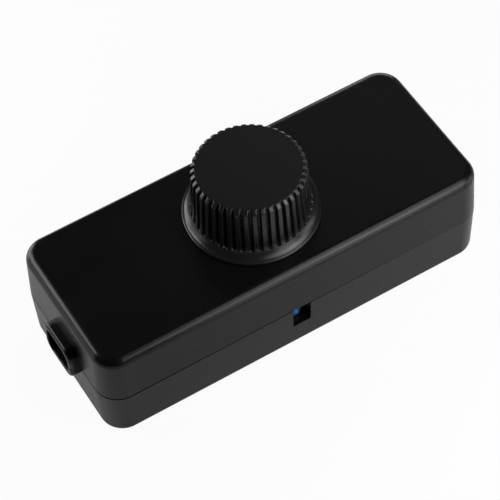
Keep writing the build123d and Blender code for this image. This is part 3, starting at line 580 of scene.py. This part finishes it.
# %% [markdown]
# A moulded edge is never quite sharp, so Bevel softens each one once the shell is whole. Weighted
# Normal then lets the broad faces decide the shading, because the long thin faces that booleans leave
# would streak it.

# %% Softened edges
EDGE_SOFTENING = 0.12 * MM
SOFTENED_ANGLE = radians(40)
CRISP_ANGLE = radians(35)
FACE_WEIGHT = 100


def smooth(thing, angle):
    """Smooth shading, with the edges that turn by more than an angle kept crisp."""
    thing.data.shade_smooth()
    thing.data.set_sharp_from_angle(angle=angle)


def soften(thing):
    """A small bevel on every sharp edge, then smooth shading between them."""
    bevel = thing.modifiers.new("edges", "BEVEL")
    bevel.width = EDGE_SOFTENING
    bevel.segments = 2
    bevel.limit_method = "ANGLE"
    bevel.angle_limit = SOFTENED_ANGLE
    bevel.use_clamp_overlap = True
    apply_modifiers(thing)
    smooth(thing, CRISP_ANGLE)
    level_normals(thing)
    return thing


def level_normals(thing):
    """Let the broad flat faces decide the shading, so that no streaks run across them."""
    modifier = thing.modifiers.new("level", "WEIGHTED_NORMAL")
    modifier.weight = FACE_WEIGHT
    modifier.keep_sharp = True
    apply_modifiers(thing)


print("edges softened by", round(EDGE_SOFTENING / MM, 2), "mm")

# %% [markdown]
# The bosses in the corners take the screws: pilot holes in the top half, clearance holes and deep
# recesses for the heads in the bottom half. The top half has the round hole for the potentiometer's
# bush, and the bottom half the window in its front wall.

# %% Join and cut the shells
BOSS_RADIUS = 3.2 * MM
BOSS_SINK = 0.6 * MM
SCREW_HOLE = 1.5 * MM
HEAD_HOLE = 2.6 * MM
HEAD_RECESS = 2.6 * MM
PILOT_HOLE = 1.33 * MM
PILOT_DEPTH = 7.2 * MM
BUSH_HOLE = 3.65 * MM
WINDOW_WIDTH = 4.1 * MM
WINDOW_DEPTH = 5.7 * MM
WINDOW_X = 0.2 * MM
boss_x = CASE_LENGTH / 2 - WALL + BOSS_SINK - BOSS_RADIUS
boss_y = CASE_WIDTH / 2 - WALL + BOSS_SINK - BOSS_RADIUS
boss_places = [(x, y) for x in (-boss_x, boss_x) for y in (-boss_y, boss_y)]
print("bosses at", [(round(x / MM, 2), round(y / MM, 2)) for x, y in boss_places])


def at_bosses(radius, low, high):
    """One upright rod at each of the four bosses."""
    return [rod_solid(radius, low, high, x, y) for x, y in boss_places]


combine(top_shell, half_collars(True), "UNION")
combine(top_shell, at_bosses(BOSS_RADIUS, SEAM, CASE_TOP - WALL / 2), "UNION")
cuts = [passage_solid(-1), passage_solid(1), rod_solid(BUSH_HOLE, SEAM, CASE_TOP + BEYOND)]
cuts += at_bosses(PILOT_HOLE, SEAM - OVERSHOOT, SEAM + PILOT_DEPTH)
combine(top_shell, cuts, "DIFFERENCE")

combine(bottom_shell, half_collars(False), "UNION")
combine(bottom_shell, at_bosses(BOSS_RADIUS, WALL / 2, SEAM), "UNION")
window_left = WINDOW_X - WINDOW_WIDTH / 2
window_right = WINDOW_X + WINDOW_WIDTH / 2
window_back = -CASE_WIDTH / 2 + WALL + OVERSHOOT
window_foot = SEAM - WINDOW_DEPTH
window = box_solid(window_left, window_right, -CASE_WIDTH, window_back, window_foot, SEAM + BEYOND)
cuts = [passage_solid(-1), passage_solid(1), window]
cuts += at_bosses(SCREW_HOLE, -OVERSHOOT, SEAM + OVERSHOOT)
cuts += at_bosses(HEAD_HOLE, -OVERSHOOT, HEAD_RECESS)
combine(bottom_shell, cuts, "DIFFERENCE")
for shell in (top_shell, bottom_shell):
    soften(shell)
    print(shell.name, len(shell.data.polygons), "faces")

# %% [markdown]
# ## The fluted knob
# The knob's form follows a rule: a turned blank, with the same narrow groove repeated round it. The
# blank is a lathe mesh: a bevelled tip, a drafted grip, a skirt that flares out in one arc, and a
# hollow inside. Its section has more points along the grip and the flare, where the grooves bend it.

# %% Lines and arcs of a section
def arc_between(start, end, start_slope, steps):
    """Points of the arc that leaves start in a direction and ends at end, as (radius, height) pairs."""
    chord = Vector((end[0] - start[0], end[1] - start[1]))
    tangent = Vector(start_slope).normalized()
    turn = 2 * (atan2(chord.y, chord.x) - atan2(tangent.y, tangent.x))
    turn = (turn + pi) % (2 * pi) - pi
    radius = chord.length / (2 * sin(abs(turn) / 2))
    normal = Vector((-tangent.y, tangent.x)) * (1 if turn > 0 else -1)
    centre = Vector(start) + normal * radius
    spoke = Vector(start) - centre
    points = []
    for step in range(1, steps + 1):
        angle = turn * step / steps
        across = centre.x + spoke.x * cos(angle) - spoke.y * sin(angle)
        height = centre.y + spoke.x * sin(angle) + spoke.y * cos(angle)
        points.append((across, height))
    return points


def straight(start, end, steps):
    """Evenly spaced points after start, up to end."""
    run = end[0] - start[0]
    climb = end[1] - start[1]
    return [(start[0] + run * k / steps, start[1] + climb * k / steps) for k in range(1, steps + 1)]


def beside(point, offset):
    """A point of the section, moved by an offset."""
    return (point[0] + offset[0], point[1] + offset[1])


print("a line in three steps", straight((0, 0), (3, 0), 3))

# %% The turned blank
KNOB_FOOT = CASE_TOP + 0.2 * MM
KNOB_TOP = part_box("knob")[1].z
AXIS_GAP = 0.5 * MM
FACE_RING = 9.5 * MM
FACE_MARGIN = 0.3 * MM
FACE_RADIUS = 10.6 * MM
FACE_EASE = ((-0.12 * MM, 0.0), (0.08 * MM, -0.09 * MM))
TIP_RADIUS = 11.4 * MM
TIP_EASE = ((-0.06 * MM, 0.08 * MM), (0.01 * MM, -0.1 * MM))
GRIP_RADIUS = 11.9 * MM
RIM_RADIUS = 13.85 * MM
BEVEL_DROP = 0.9 * MM
FLARE_RISE = 3.5 * MM
FLARE_REACH = 1.45 * MM
RIM_RISE = 0.65 * MM
RIM_ROUND = 0.2 * MM
RIM_SLOPE = (1.0, -0.3)
FOOT_EDGE = 0.1 * MM
BORE_TOP = 9.3 * MM
BORE_FOOT = 9.8 * MM
KNOB_ROOF = 1.6 * MM
EDGE_ROWS = 3
BEVEL_ROWS = 5
TIP_ROWS = 2
GRIP_ROWS = 22
FLARE_ROWS = 20
LIP_ROWS = 2
RIM_ROWS = 4
FLUTES = 42
STEPS_PER_FLUTE = 18


def knob_profile():
    """The blank's section as (radius, height), from the face's middle round to the roof's underside."""
    face = (FACE_RADIUS, KNOB_TOP)
    tip = (TIP_RADIUS, KNOB_TOP - BEVEL_DROP)
    foot = (GRIP_RADIUS, KNOB_FOOT + FLARE_RISE)
    rim_top = (GRIP_RADIUS + FLARE_REACH, KNOB_FOOT + RIM_RISE + RIM_ROUND)
    lip = (RIM_RADIUS - RIM_ROUND, KNOB_FOOT + RIM_RISE + RIM_ROUND / 2)
    side = (RIM_RADIUS, KNOB_FOOT + RIM_RISE - RIM_ROUND)
    points = [(AXIS_GAP, KNOB_TOP), (FACE_RING, KNOB_TOP), (FACE_RADIUS - FACE_MARGIN, KNOB_TOP)]
    points.append(beside(face, FACE_EASE[0]))
    points += straight(points[-1], beside(face, FACE_EASE[1]), EDGE_ROWS)
    points += straight(points[-1], beside(tip, TIP_EASE[0]), BEVEL_ROWS)
    points += straight(points[-1], beside(tip, TIP_EASE[1]), TIP_ROWS)
    points += straight(points[-1], foot, GRIP_ROWS)
    points += arc_between(foot, rim_top, (foot[0] - tip[0], foot[1] - tip[1]), FLARE_ROWS)
    points += straight(rim_top, lip, LIP_ROWS)
    points += arc_between(lip, side, RIM_SLOPE, RIM_ROWS)
    points += [(RIM_RADIUS, KNOB_FOOT + FOOT_EDGE), (RIM_RADIUS - FOOT_EDGE, KNOB_FOOT)]
    points += [(BORE_FOOT + FOOT_EDGE, KNOB_FOOT), (BORE_FOOT, KNOB_FOOT + FOOT_EDGE)]
    points += [(BORE_TOP, KNOB_TOP - KNOB_ROOF), (AXIS_GAP, KNOB_TOP - KNOB_ROOF)]
    return points


def lathe(name, profile, steps, material=None):
    """A closed solid turned round Z from a section whose first and last points are near the axis."""
    rows = [[(r * cos(turn), r * sin(turn), z) for turn in turns(steps)] for r, z in profile]
    return loft(name, rows, material)


knob = lathe("knob_body", knob_profile(), FLUTES * STEPS_PER_FLUTE, knob_plastic)
print("blank", len(knob.data.vertices), "points")

# %% [markdown]
# Forty-two booleans could cut the flutes, but slowly and with ragged edges. Geometry Nodes press them
# into the blank instead, and its clean rows of faces stay. Each point finds its angle within one pitch,
# and sinks towards the flute's floor where it lies in the groove and above the flute's foot. The flutes
# run on a little way into the flare, and end there in a small ledge.

# %% Helpers for Geometry Nodes
def tree_input(tree, name, value, kind="NodeSocketFloat"):
    """A named input of a Geometry Nodes tree."""
    socket = tree.interface.new_socket(name, in_out="INPUT", socket_type=kind)
    if value is not None:
        socket.default_value = value
    return socket


def smooth_ramp(tree, value, low, high):
    """0 below low, 1 above high and smooth between, from three outputs or numbers."""
    node = tree.nodes.new("ShaderNodeMapRange")
    node.interpolation_type = "SMOOTHSTEP"
    for name, item in (("Value", value), ("From Min", low), ("From Max", high)):
        if isinstance(item, (int, float)):
            node.inputs[name].default_value = item
        else:
            join_socket(tree, item, node.inputs[name])
    return node.outputs["Result"]


def end_tree(tree, geometry, material):
    """End a Geometry Nodes tree in real meshes of one material."""
    realize = tree.nodes.new("GeometryNodeRealizeInstances")
    paint = tree.nodes.new("GeometryNodeSetMaterial")
    join_socket(tree, geometry, realize.inputs[0])
    join_socket(tree, realize.outputs[0], paint.inputs["Geometry"])
    join_socket(tree, material, paint.inputs["Material"])
    join_socket(tree, paint.outputs[0], tree.nodes.new("NodeGroupOutput").inputs[0])


def set_inputs(modifier, **values):
    """Set a Geometry Nodes modifier's inputs, found by name and set by identifier."""
    for item in modifier.node_group.interface.items_tree:
        key = item.name.lower().replace(" ", "_")
        if item.in_out == "INPUT" and key in values:
            modifier[item.identifier] = values[key]


def grow(thing, tree, **values):
    """Run a Geometry Nodes tree on an object and keep its result as a plain mesh."""
    modifier = thing.modifiers.new("grow", "NODES")
    modifier.node_group = tree
    set_inputs(modifier, **values)
    return apply_modifiers(thing)


print("helpers for Geometry Nodes are ready")

# %% Press the flutes with Geometry Nodes
FLUTE_WIDTH = 0.6 * MM
FLUTE_DEPTH = 0.95 * MM
FLUTE_SOFTNESS = 0.18 * MM
FLUTE_FADE = 0.12 * MM
FLUTE_RUN_ON = 1.15 * MM
PHASE_SHIFT = 100.5
KNOB_CRISP_ANGLE = radians(50)


def flute_tree():
    """Sinks evenly spaced grooves into the grip of a turned blank."""
    tree = bpy.data.node_groups.new("press_flutes", "GeometryNodeTree")
    tree_input(tree, "Geometry", None, "NodeSocketGeometry")
    tree_input(tree, "Count", FLUTES, "NodeSocketInt")
    for name, value in (("Width", FLUTE_WIDTH), ("Depth", FLUTE_DEPTH),
                        ("Softness", FLUTE_SOFTNESS), ("Foot Height", 0.0),
                        ("Foot Fade", FLUTE_FADE), ("Tip Radius", TIP_RADIUS),
                        ("Tip Height", 0.0), ("Foot Radius", GRIP_RADIUS)):
        tree_input(tree, name, value)
    tree_input(tree, "Material", None, "NodeSocketMaterial")
    tree.interface.new_socket("Geometry", in_out="OUTPUT", socket_type="NodeSocketGeometry")
    given = tree.nodes.new("NodeGroupInput").outputs
    where = tree.nodes.new("GeometryNodeInputPosition")
    split = tree.nodes.new("ShaderNodeSeparateXYZ")
    join_socket(tree, where.outputs[0], split.inputs[0])
    x, y, z = split.outputs

    # How far a point lies aside of the middle of its flute; the shift sets the first one on +X.
    squares = maths(tree, "ADD", maths(tree, "MULTIPLY", x, x), maths(tree, "MULTIPLY", y, y))
    radius = maths(tree, "SQRT", squares)
    turn = maths(tree, "DIVIDE", maths(tree, "ARCTAN2", y, x), 2 * pi)
    flutes_passed = maths(tree, "MULTIPLY", turn, given["Count"])
    phase = maths(tree, "FRACT", maths(tree, "ADD", flutes_passed, PHASE_SHIFT))
    pitch = maths(tree, "DIVIDE", maths(tree, "MULTIPLY", radius, 2 * pi), given["Count"])
    off_middle = maths(tree, "ABSOLUTE", maths(tree, "SUBTRACT", phase, 0.5))
    aside = maths(tree, "MULTIPLY", off_middle, pitch)

    # 1 in the groove and above its foot, 0 elsewhere.
    half = maths(tree, "DIVIDE", given["Width"], 2)
    inner = maths(tree, "SUBTRACT", half, given["Softness"])
    outer = maths(tree, "ADD", half, given["Softness"])
    groove = maths(tree, "SUBTRACT", 1.0, smooth_ramp(tree, aside, inner, outer))
    faded = maths(tree, "ADD", given["Foot Height"], given["Foot Fade"])
    above = smooth_ramp(tree, z, given["Foot Height"], faded)

    # The groove's floor keeps one depth below the drafted grip.
    climb = maths(tree, "SUBTRACT", z, given["Foot Height"])
    rise = maths(tree, "SUBTRACT", given["Tip Height"], given["Foot Height"])
    taper = maths(tree, "SUBTRACT", given["Foot Radius"], given["Tip Radius"])
    lost = maths(tree, "MULTIPLY", taper, maths(tree, "DIVIDE", climb, rise))
    grip = maths(tree, "SUBTRACT", given["Foot Radius"], lost)
    groove_floor = maths(tree, "SUBTRACT", grip, given["Depth"])
    excess = maths(tree, "MAXIMUM", maths(tree, "SUBTRACT", radius, groove_floor), 0.0)
    sink = maths(tree, "MULTIPLY", maths(tree, "MULTIPLY", groove, above), excess)

    # Move each point straight towards the axis.
    share = maths(tree, "DIVIDE", sink, radius)
    move = tree.nodes.new("ShaderNodeCombineXYZ")
    join_socket(tree, maths(tree, "MULTIPLY", maths(tree, "MULTIPLY", x, share), -1), move.inputs[0])
    join_socket(tree, maths(tree, "MULTIPLY", maths(tree, "MULTIPLY", y, share), -1), move.inputs[1])
    shift = tree.nodes.new("GeometryNodeSetPosition")
    join_socket(tree, given["Geometry"], shift.inputs["Geometry"])
    join_socket(tree, move.outputs[0], shift.inputs["Offset"])
    end_tree(tree, shift.outputs[0], given["Material"])
    return tree


grow(knob, flute_tree(), foot_height=KNOB_FOOT + FLARE_RISE - FLUTE_RUN_ON,
     tip_height=KNOB_TOP - BEVEL_DROP, material=knob_plastic)
smooth(knob, KNOB_CRISP_ANGLE)
print("knob", len(knob.data.polygons), "faces")

# %% [markdown]
# ## Pieces onto the frame
# The shells and the knob take the place of their CAD nodes, which stay for collision, hidden. The
# shells ride on the case body and the knob on the knob body.

# %% Ride and replace
for piece, node, body in ((top_shell, "top_shell", "case"), (bottom_shell, "bottom_shell", "case"),
                          (knob, "knob", "knob")):
    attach(piece, body)
    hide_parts(node)
    print(piece.name, "rides on", body)

# %% [markdown]
# ## Materials inside
# The rest of the CAD nodes keep their shape. Most lie inside, and a few show through the window and the
# cord entries, so each gets the finish of its real counterpart. Two recipes are enough for them all:
# metals differ in colour and in their tool marks, and resins and laminates wander between two tones.

# %% Metals, board and resins
MARK_SCALE = 900.0
MARK_DETAIL = 4.0
MARK_DEPTH = 0.004 * MM
POLISHED_SHARE = 0.6
RESIN_DEPTH = 0.006 * MM
TONE_LOW = 0.35
TONE_HIGH = 0.65
EVEN_MARKS = (1, 1, 1)
TURNED_MARKS = (1, 1, 12)
METALS = {
    "screw_steel": ((0.62, 0.62, 0.63), 0.32, EVEN_MARKS),
    "shaft_metal": ((0.70, 0.70, 0.71), 0.30, TURNED_MARKS),
    "bush_brass": ((0.80, 0.72, 0.50), 0.30, TURNED_MARKS),
    "can_metal": ((0.64, 0.64, 0.63), 0.38, EVEN_MARKS),
    "tinned_wire": ((0.78, 0.78, 0.77), 0.28, EVEN_MARKS),
}
RESINS = {
    "carrier_plastic": ((0.74, 0.72, 0.65), (0.70, 0.68, 0.60), 400.0, 0.5),
    "wafer_resin": ((0.25, 0.12, 0.05), (0.20, 0.09, 0.035), 700.0, 0.5),
    "board_laminate": ((0.02, 0.13, 0.045), (0.03, 0.17, 0.06), 500.0, 0.35),
    "capacitor_sleeve": ((0.02, 0.03, 0.09), (0.025, 0.035, 0.10), 300.0, 0.3),
    "choke_core": ((0.05, 0.05, 0.05), (0.07, 0.07, 0.07), 900.0, 0.6),
    "film_box": ((0.70, 0.42, 0.05), (0.66, 0.38, 0.04), 300.0, 0.35),
    "chip_resin": ((0.02, 0.02, 0.02), (0.03, 0.03, 0.03), 900.0, 0.55),
    "fuse_body": ((0.76, 0.74, 0.69), (0.70, 0.68, 0.63), 600.0, 0.4),
    "resistor_lacquer": ((0.55, 0.40, 0.25), (0.50, 0.35, 0.20), 500.0, 0.35),
    "clamp_plastic": ((0.02, 0.02, 0.02), (0.03, 0.03, 0.03), 900.0, 0.45),
    "terminal_plastic": ((0.03, 0.20, 0.08), (0.035, 0.23, 0.09), 500.0, 0.35),
    "blue_lens": ((0.008, 0.075, 0.24), (0.012, 0.095, 0.28), 250.0, 0.22),
}


def metal(name, colour, roughest, squeeze):
    """Metal with fine tool marks, which squeeze packs into rings on a turned part."""
    material, tree, shader = new_material(name, colour, roughest, 1.0)
    marks = noise(tree, MARK_SCALE, MARK_DETAIL, squeeze)
    wander = remap(tree, marks, roughest * POLISHED_SHARE, roughest)
    join_socket(tree, wander, shader.inputs["Roughness"])
    add_bump(tree, shader, marks, MARK_DEPTH)
    return material


def two_tone(name, first, second, scale, roughness):
    """A resin or laminate whose colour wanders between two tones."""
    material, tree, shader = new_material(name, first, roughness)
    ramp = tree.nodes.new("ShaderNodeValToRGB")
    stops = ramp.color_ramp.elements
    for stop, position, tone in zip(stops, (TONE_LOW, TONE_HIGH), (first, second)):
        stop.position = position
        stop.color = (*tone, 1)
    pattern = noise(tree, scale)
    join_socket(tree, pattern, ramp.inputs[0])
    join_socket(tree, ramp.outputs[0], shader.inputs["Base Color"])
    add_bump(tree, shader, pattern, RESIN_DEPTH)
    return material


finishes = {name: metal(name, *values) for name, values in METALS.items()}
finishes.update({name: two_tone(name, *values) for name, values in RESINS.items()})
finishes["case_plastic"] = case_plastic
finishes["knob_plastic"] = knob_plastic
slots = {entry["node"]: entry["material_slot"] for entry in frame["record"]["subparts"]}
for name, thing in nodes.items():
    thing.data.materials.clear()
    thing.data.materials.append(finishes[slots[name]])
print("finishes", len(finishes))

# %% [markdown]
# ## The blue lamp in the window
# A 3 mm lamp is cast in one piece: a round nose, a barrel, and a flange with one flat that marks a leg.
# A section carried round the lamp's own axis makes it, and holding x back makes the flat. Its nose
# stands just inside the window, which is the only place where it is seen.

# %% Indicator lamp
LENS_RADIUS = 1.5 * MM
FLANGE_RADIUS = 1.9 * MM
FLANGE_THICKNESS = 1.0 * MM
FLANGE_FLAT = 1.6 * MM
NOSE_REACH = 0.45 * MM
NOSE_STEPS = 10
LENS_STEPS = 48
lamp_low, lamp_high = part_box("indicator_led")
lamp_z = (lamp_low.z + lamp_high.z) / 2


def lens_section():
    """The lamp's section as (radius, y), from its nose back to its base."""
    tip = lamp_low.y - NOSE_REACH
    shoulder = lamp_high.y - FLANGE_THICKNESS
    rows = []
    for step in range(1, NOSE_STEPS + 1):
        angle = pi / 2 * step / NOSE_STEPS
        rows.append((LENS_RADIUS * sin(angle), tip + LENS_RADIUS * (1 - cos(angle))))
    return rows + [(LENS_RADIUS, shoulder), (FLANGE_RADIUS, shoulder), (FLANGE_RADIUS, lamp_high.y)]


def lens_ring(radius, y):
    """One ring of the lamp, with the flange's flat."""
    ring = []
    for turn in turns(LENS_STEPS):
        ring.append((min(radius * cos(turn), FLANGE_FLAT), y, lamp_z + radius * sin(turn)))
    return ring


lens = loft("lamp_lens", [lens_ring(*row) for row in lens_section()], finishes["blue_lens"])
smooth(lens, CRISP_ANGLE)
print("lamp from y", round(lamp_low.y / MM, 2), "to", round(lamp_high.y / MM, 2))

# %% [markdown]
# ## The case screws
# Four self-tapping screws hold the halves together from underneath, and their heads show in deep round
# recesses. Blender's Screw modifier could wind a thread, but it would have to be joined to the shank.
# One loft makes both: built ring by ring, the shank swells along a helix, which is the thread. A
# tapered cross is cut into its head.

# %% One screw
HEAD_RADIUS = 2.4 * MM
HEAD_HEIGHT = 1.8 * MM
CROWN_RADIUS = 1.8 * MM
CROWN_STEPS = 8
BRIM = 0.9 * MM
SHANK_RADIUS = 1.3 * MM
THREAD_DEPTH = 0.25 * MM
THREAD_PITCH = 1.1 * MM
THREAD_SHARPNESS = 3
PLAIN_NECK = 0.4 * MM
POINT_LENGTH = 1.4 * MM
POINT_RADIUS = 0.5 * MM
ROWS_PER_PITCH = 10
SCREW_STEPS = 32
CROSS_ARM = 1.32 * MM
CROSS_HALF_WIDTH = 0.34 * MM
CROSS_DEPTH = 1.08 * MM
CROSS_TAPER = 0.6
CROSS_START = 0.1 * MM
screw_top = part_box("case_screws")[1].z
crown_z = HEAD_RECESS - HEAD_HEIGHT


def round_ring(radius, z):
    """A plain ring of the screw."""
    return [(radius * cos(turn), radius * sin(turn), z) for turn in turns(SCREW_STEPS)]


def thread_ring(z):
    """A ring of the shank, whose radius follows the right-handed helix and narrows at the point."""
    left = min(1.0, (screw_top - z) / POINT_LENGTH)
    crest = POINT_RADIUS + (SHANK_RADIUS - POINT_RADIUS) * left
    ring = []
    for step, turn in enumerate(turns(SCREW_STEPS)):
        phase = ((z - HEAD_RECESS) / THREAD_PITCH - step / SCREW_STEPS) % 1.0
        valley = min(1.0, THREAD_SHARPNESS * min(phase, 1 - phase))
        radius = crest - THREAD_DEPTH * valley
        ring.append((radius * cos(turn), radius * sin(turn), z))
    return ring


def screw_rings():
    """The whole screw, from the crown of its head up to its point."""
    rings = []
    for step in range(CROWN_STEPS + 1):
        angle = pi / 2 * step / CROWN_STEPS
        radius = CROWN_RADIUS + (HEAD_RADIUS - CROWN_RADIUS) * sin(angle)
        rings.append(round_ring(radius, crown_z + (HEAD_HEIGHT - BRIM) * (1 - cos(angle))))
    rings.append(round_ring(HEAD_RADIUS, HEAD_RECESS))
    rings.append(round_ring(SHANK_RADIUS - THREAD_DEPTH, HEAD_RECESS))
    first = HEAD_RECESS + PLAIN_NECK
    count = int((screw_top - first) / THREAD_PITCH * ROWS_PER_PITCH)
    rings += [thread_ring(first + (screw_top - first) * row / count) for row in range(count + 1)]
    return rings


def cross_arm(half_x, half_y):
    """One tapered arm of the cross recess, as a cutting tool."""
    rows = []
    for z, share in ((crown_z - CROSS_START, 1.0), (crown_z + CROSS_DEPTH, CROSS_TAPER)):
        x = half_x * share
        y = half_y * share
        rows.append([(-x, -y, z), (x, -y, z), (x, y, z), (-x, y, z)])
    return loft("tool", rows)


screw = loft("one_screw", screw_rings(), finishes["screw_steel"])
arms = [cross_arm(CROSS_ARM, CROSS_HALF_WIDTH), cross_arm(CROSS_HALF_WIDTH, CROSS_ARM)]
combine(screw, arms, "DIFFERENCE")
print("one screw", len(screw.data.polygons), "faces")

# %% [markdown]
# Screws driven by hand stop at any angle. Copying the object four times would do, but a small tree
# says it once: a grid of two by two points carries the screw, and a random value with a fixed seed
# turns each copy its own way.

# %% Set the screws at the bosses
SCREW_SEED = 7
SCREW_CRISP_ANGLE = radians(30)


def corner_tree():
    """Sets an object at a rectangle's four corners, each copy with its own turn about Z."""
    tree = bpy.data.node_groups.new("set_at_corners", "GeometryNodeTree")
    tree_input(tree, "Geometry", None, "NodeSocketGeometry")
    tree_input(tree, "Spacing X", 2 * boss_x)
    tree_input(tree, "Spacing Y", 2 * boss_y)
    tree_input(tree, "Seed", SCREW_SEED, "NodeSocketInt")
    tree_input(tree, "Screw", None, "NodeSocketObject")
    tree_input(tree, "Material", None, "NodeSocketMaterial")
    tree.interface.new_socket("Geometry", in_out="OUTPUT", socket_type="NodeSocketGeometry")
    given = tree.nodes.new("NodeGroupInput").outputs
    grid = tree.nodes.new("GeometryNodeMeshGrid")
    grid.inputs["Vertices X"].default_value = 2
    grid.inputs["Vertices Y"].default_value = 2
    join_socket(tree, given["Spacing X"], grid.inputs["Size X"])
    join_socket(tree, given["Spacing Y"], grid.inputs["Size Y"])
    chance = tree.nodes.new("FunctionNodeRandomValue")
    join_socket(tree, given["Seed"], chance.inputs["Seed"])
    turn = tree.nodes.new("ShaderNodeCombineXYZ")
    join_socket(tree, maths(tree, "MULTIPLY", chance.outputs[1], 2 * pi), turn.inputs["Z"])
    pattern = tree.nodes.new("GeometryNodeObjectInfo")
    join_socket(tree, given["Screw"], pattern.inputs["Object"])
    copies = tree.nodes.new("GeometryNodeInstanceOnPoints")
    join_socket(tree, grid.outputs["Mesh"], copies.inputs["Points"])
    join_socket(tree, pattern.outputs["Geometry"], copies.inputs["Instance"])
    join_socket(tree, turn.outputs[0], copies.inputs["Rotation"])
    end_tree(tree, copies.outputs[0], given["Material"])
    return tree


screws = add_object("boss_screws", bpy.data.meshes.new("boss_screws"))
grow(screws, corner_tree(), screw=screw, material=finishes["screw_steel"])
bpy.data.objects.remove(screw)
smooth(screws, SCREW_CRISP_ANGLE)
for piece, node in ((lens, "indicator_led"), (screws, "case_screws")):
    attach(piece, "case")
    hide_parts(node)
print("screws", len(screws.data.polygons), "faces")
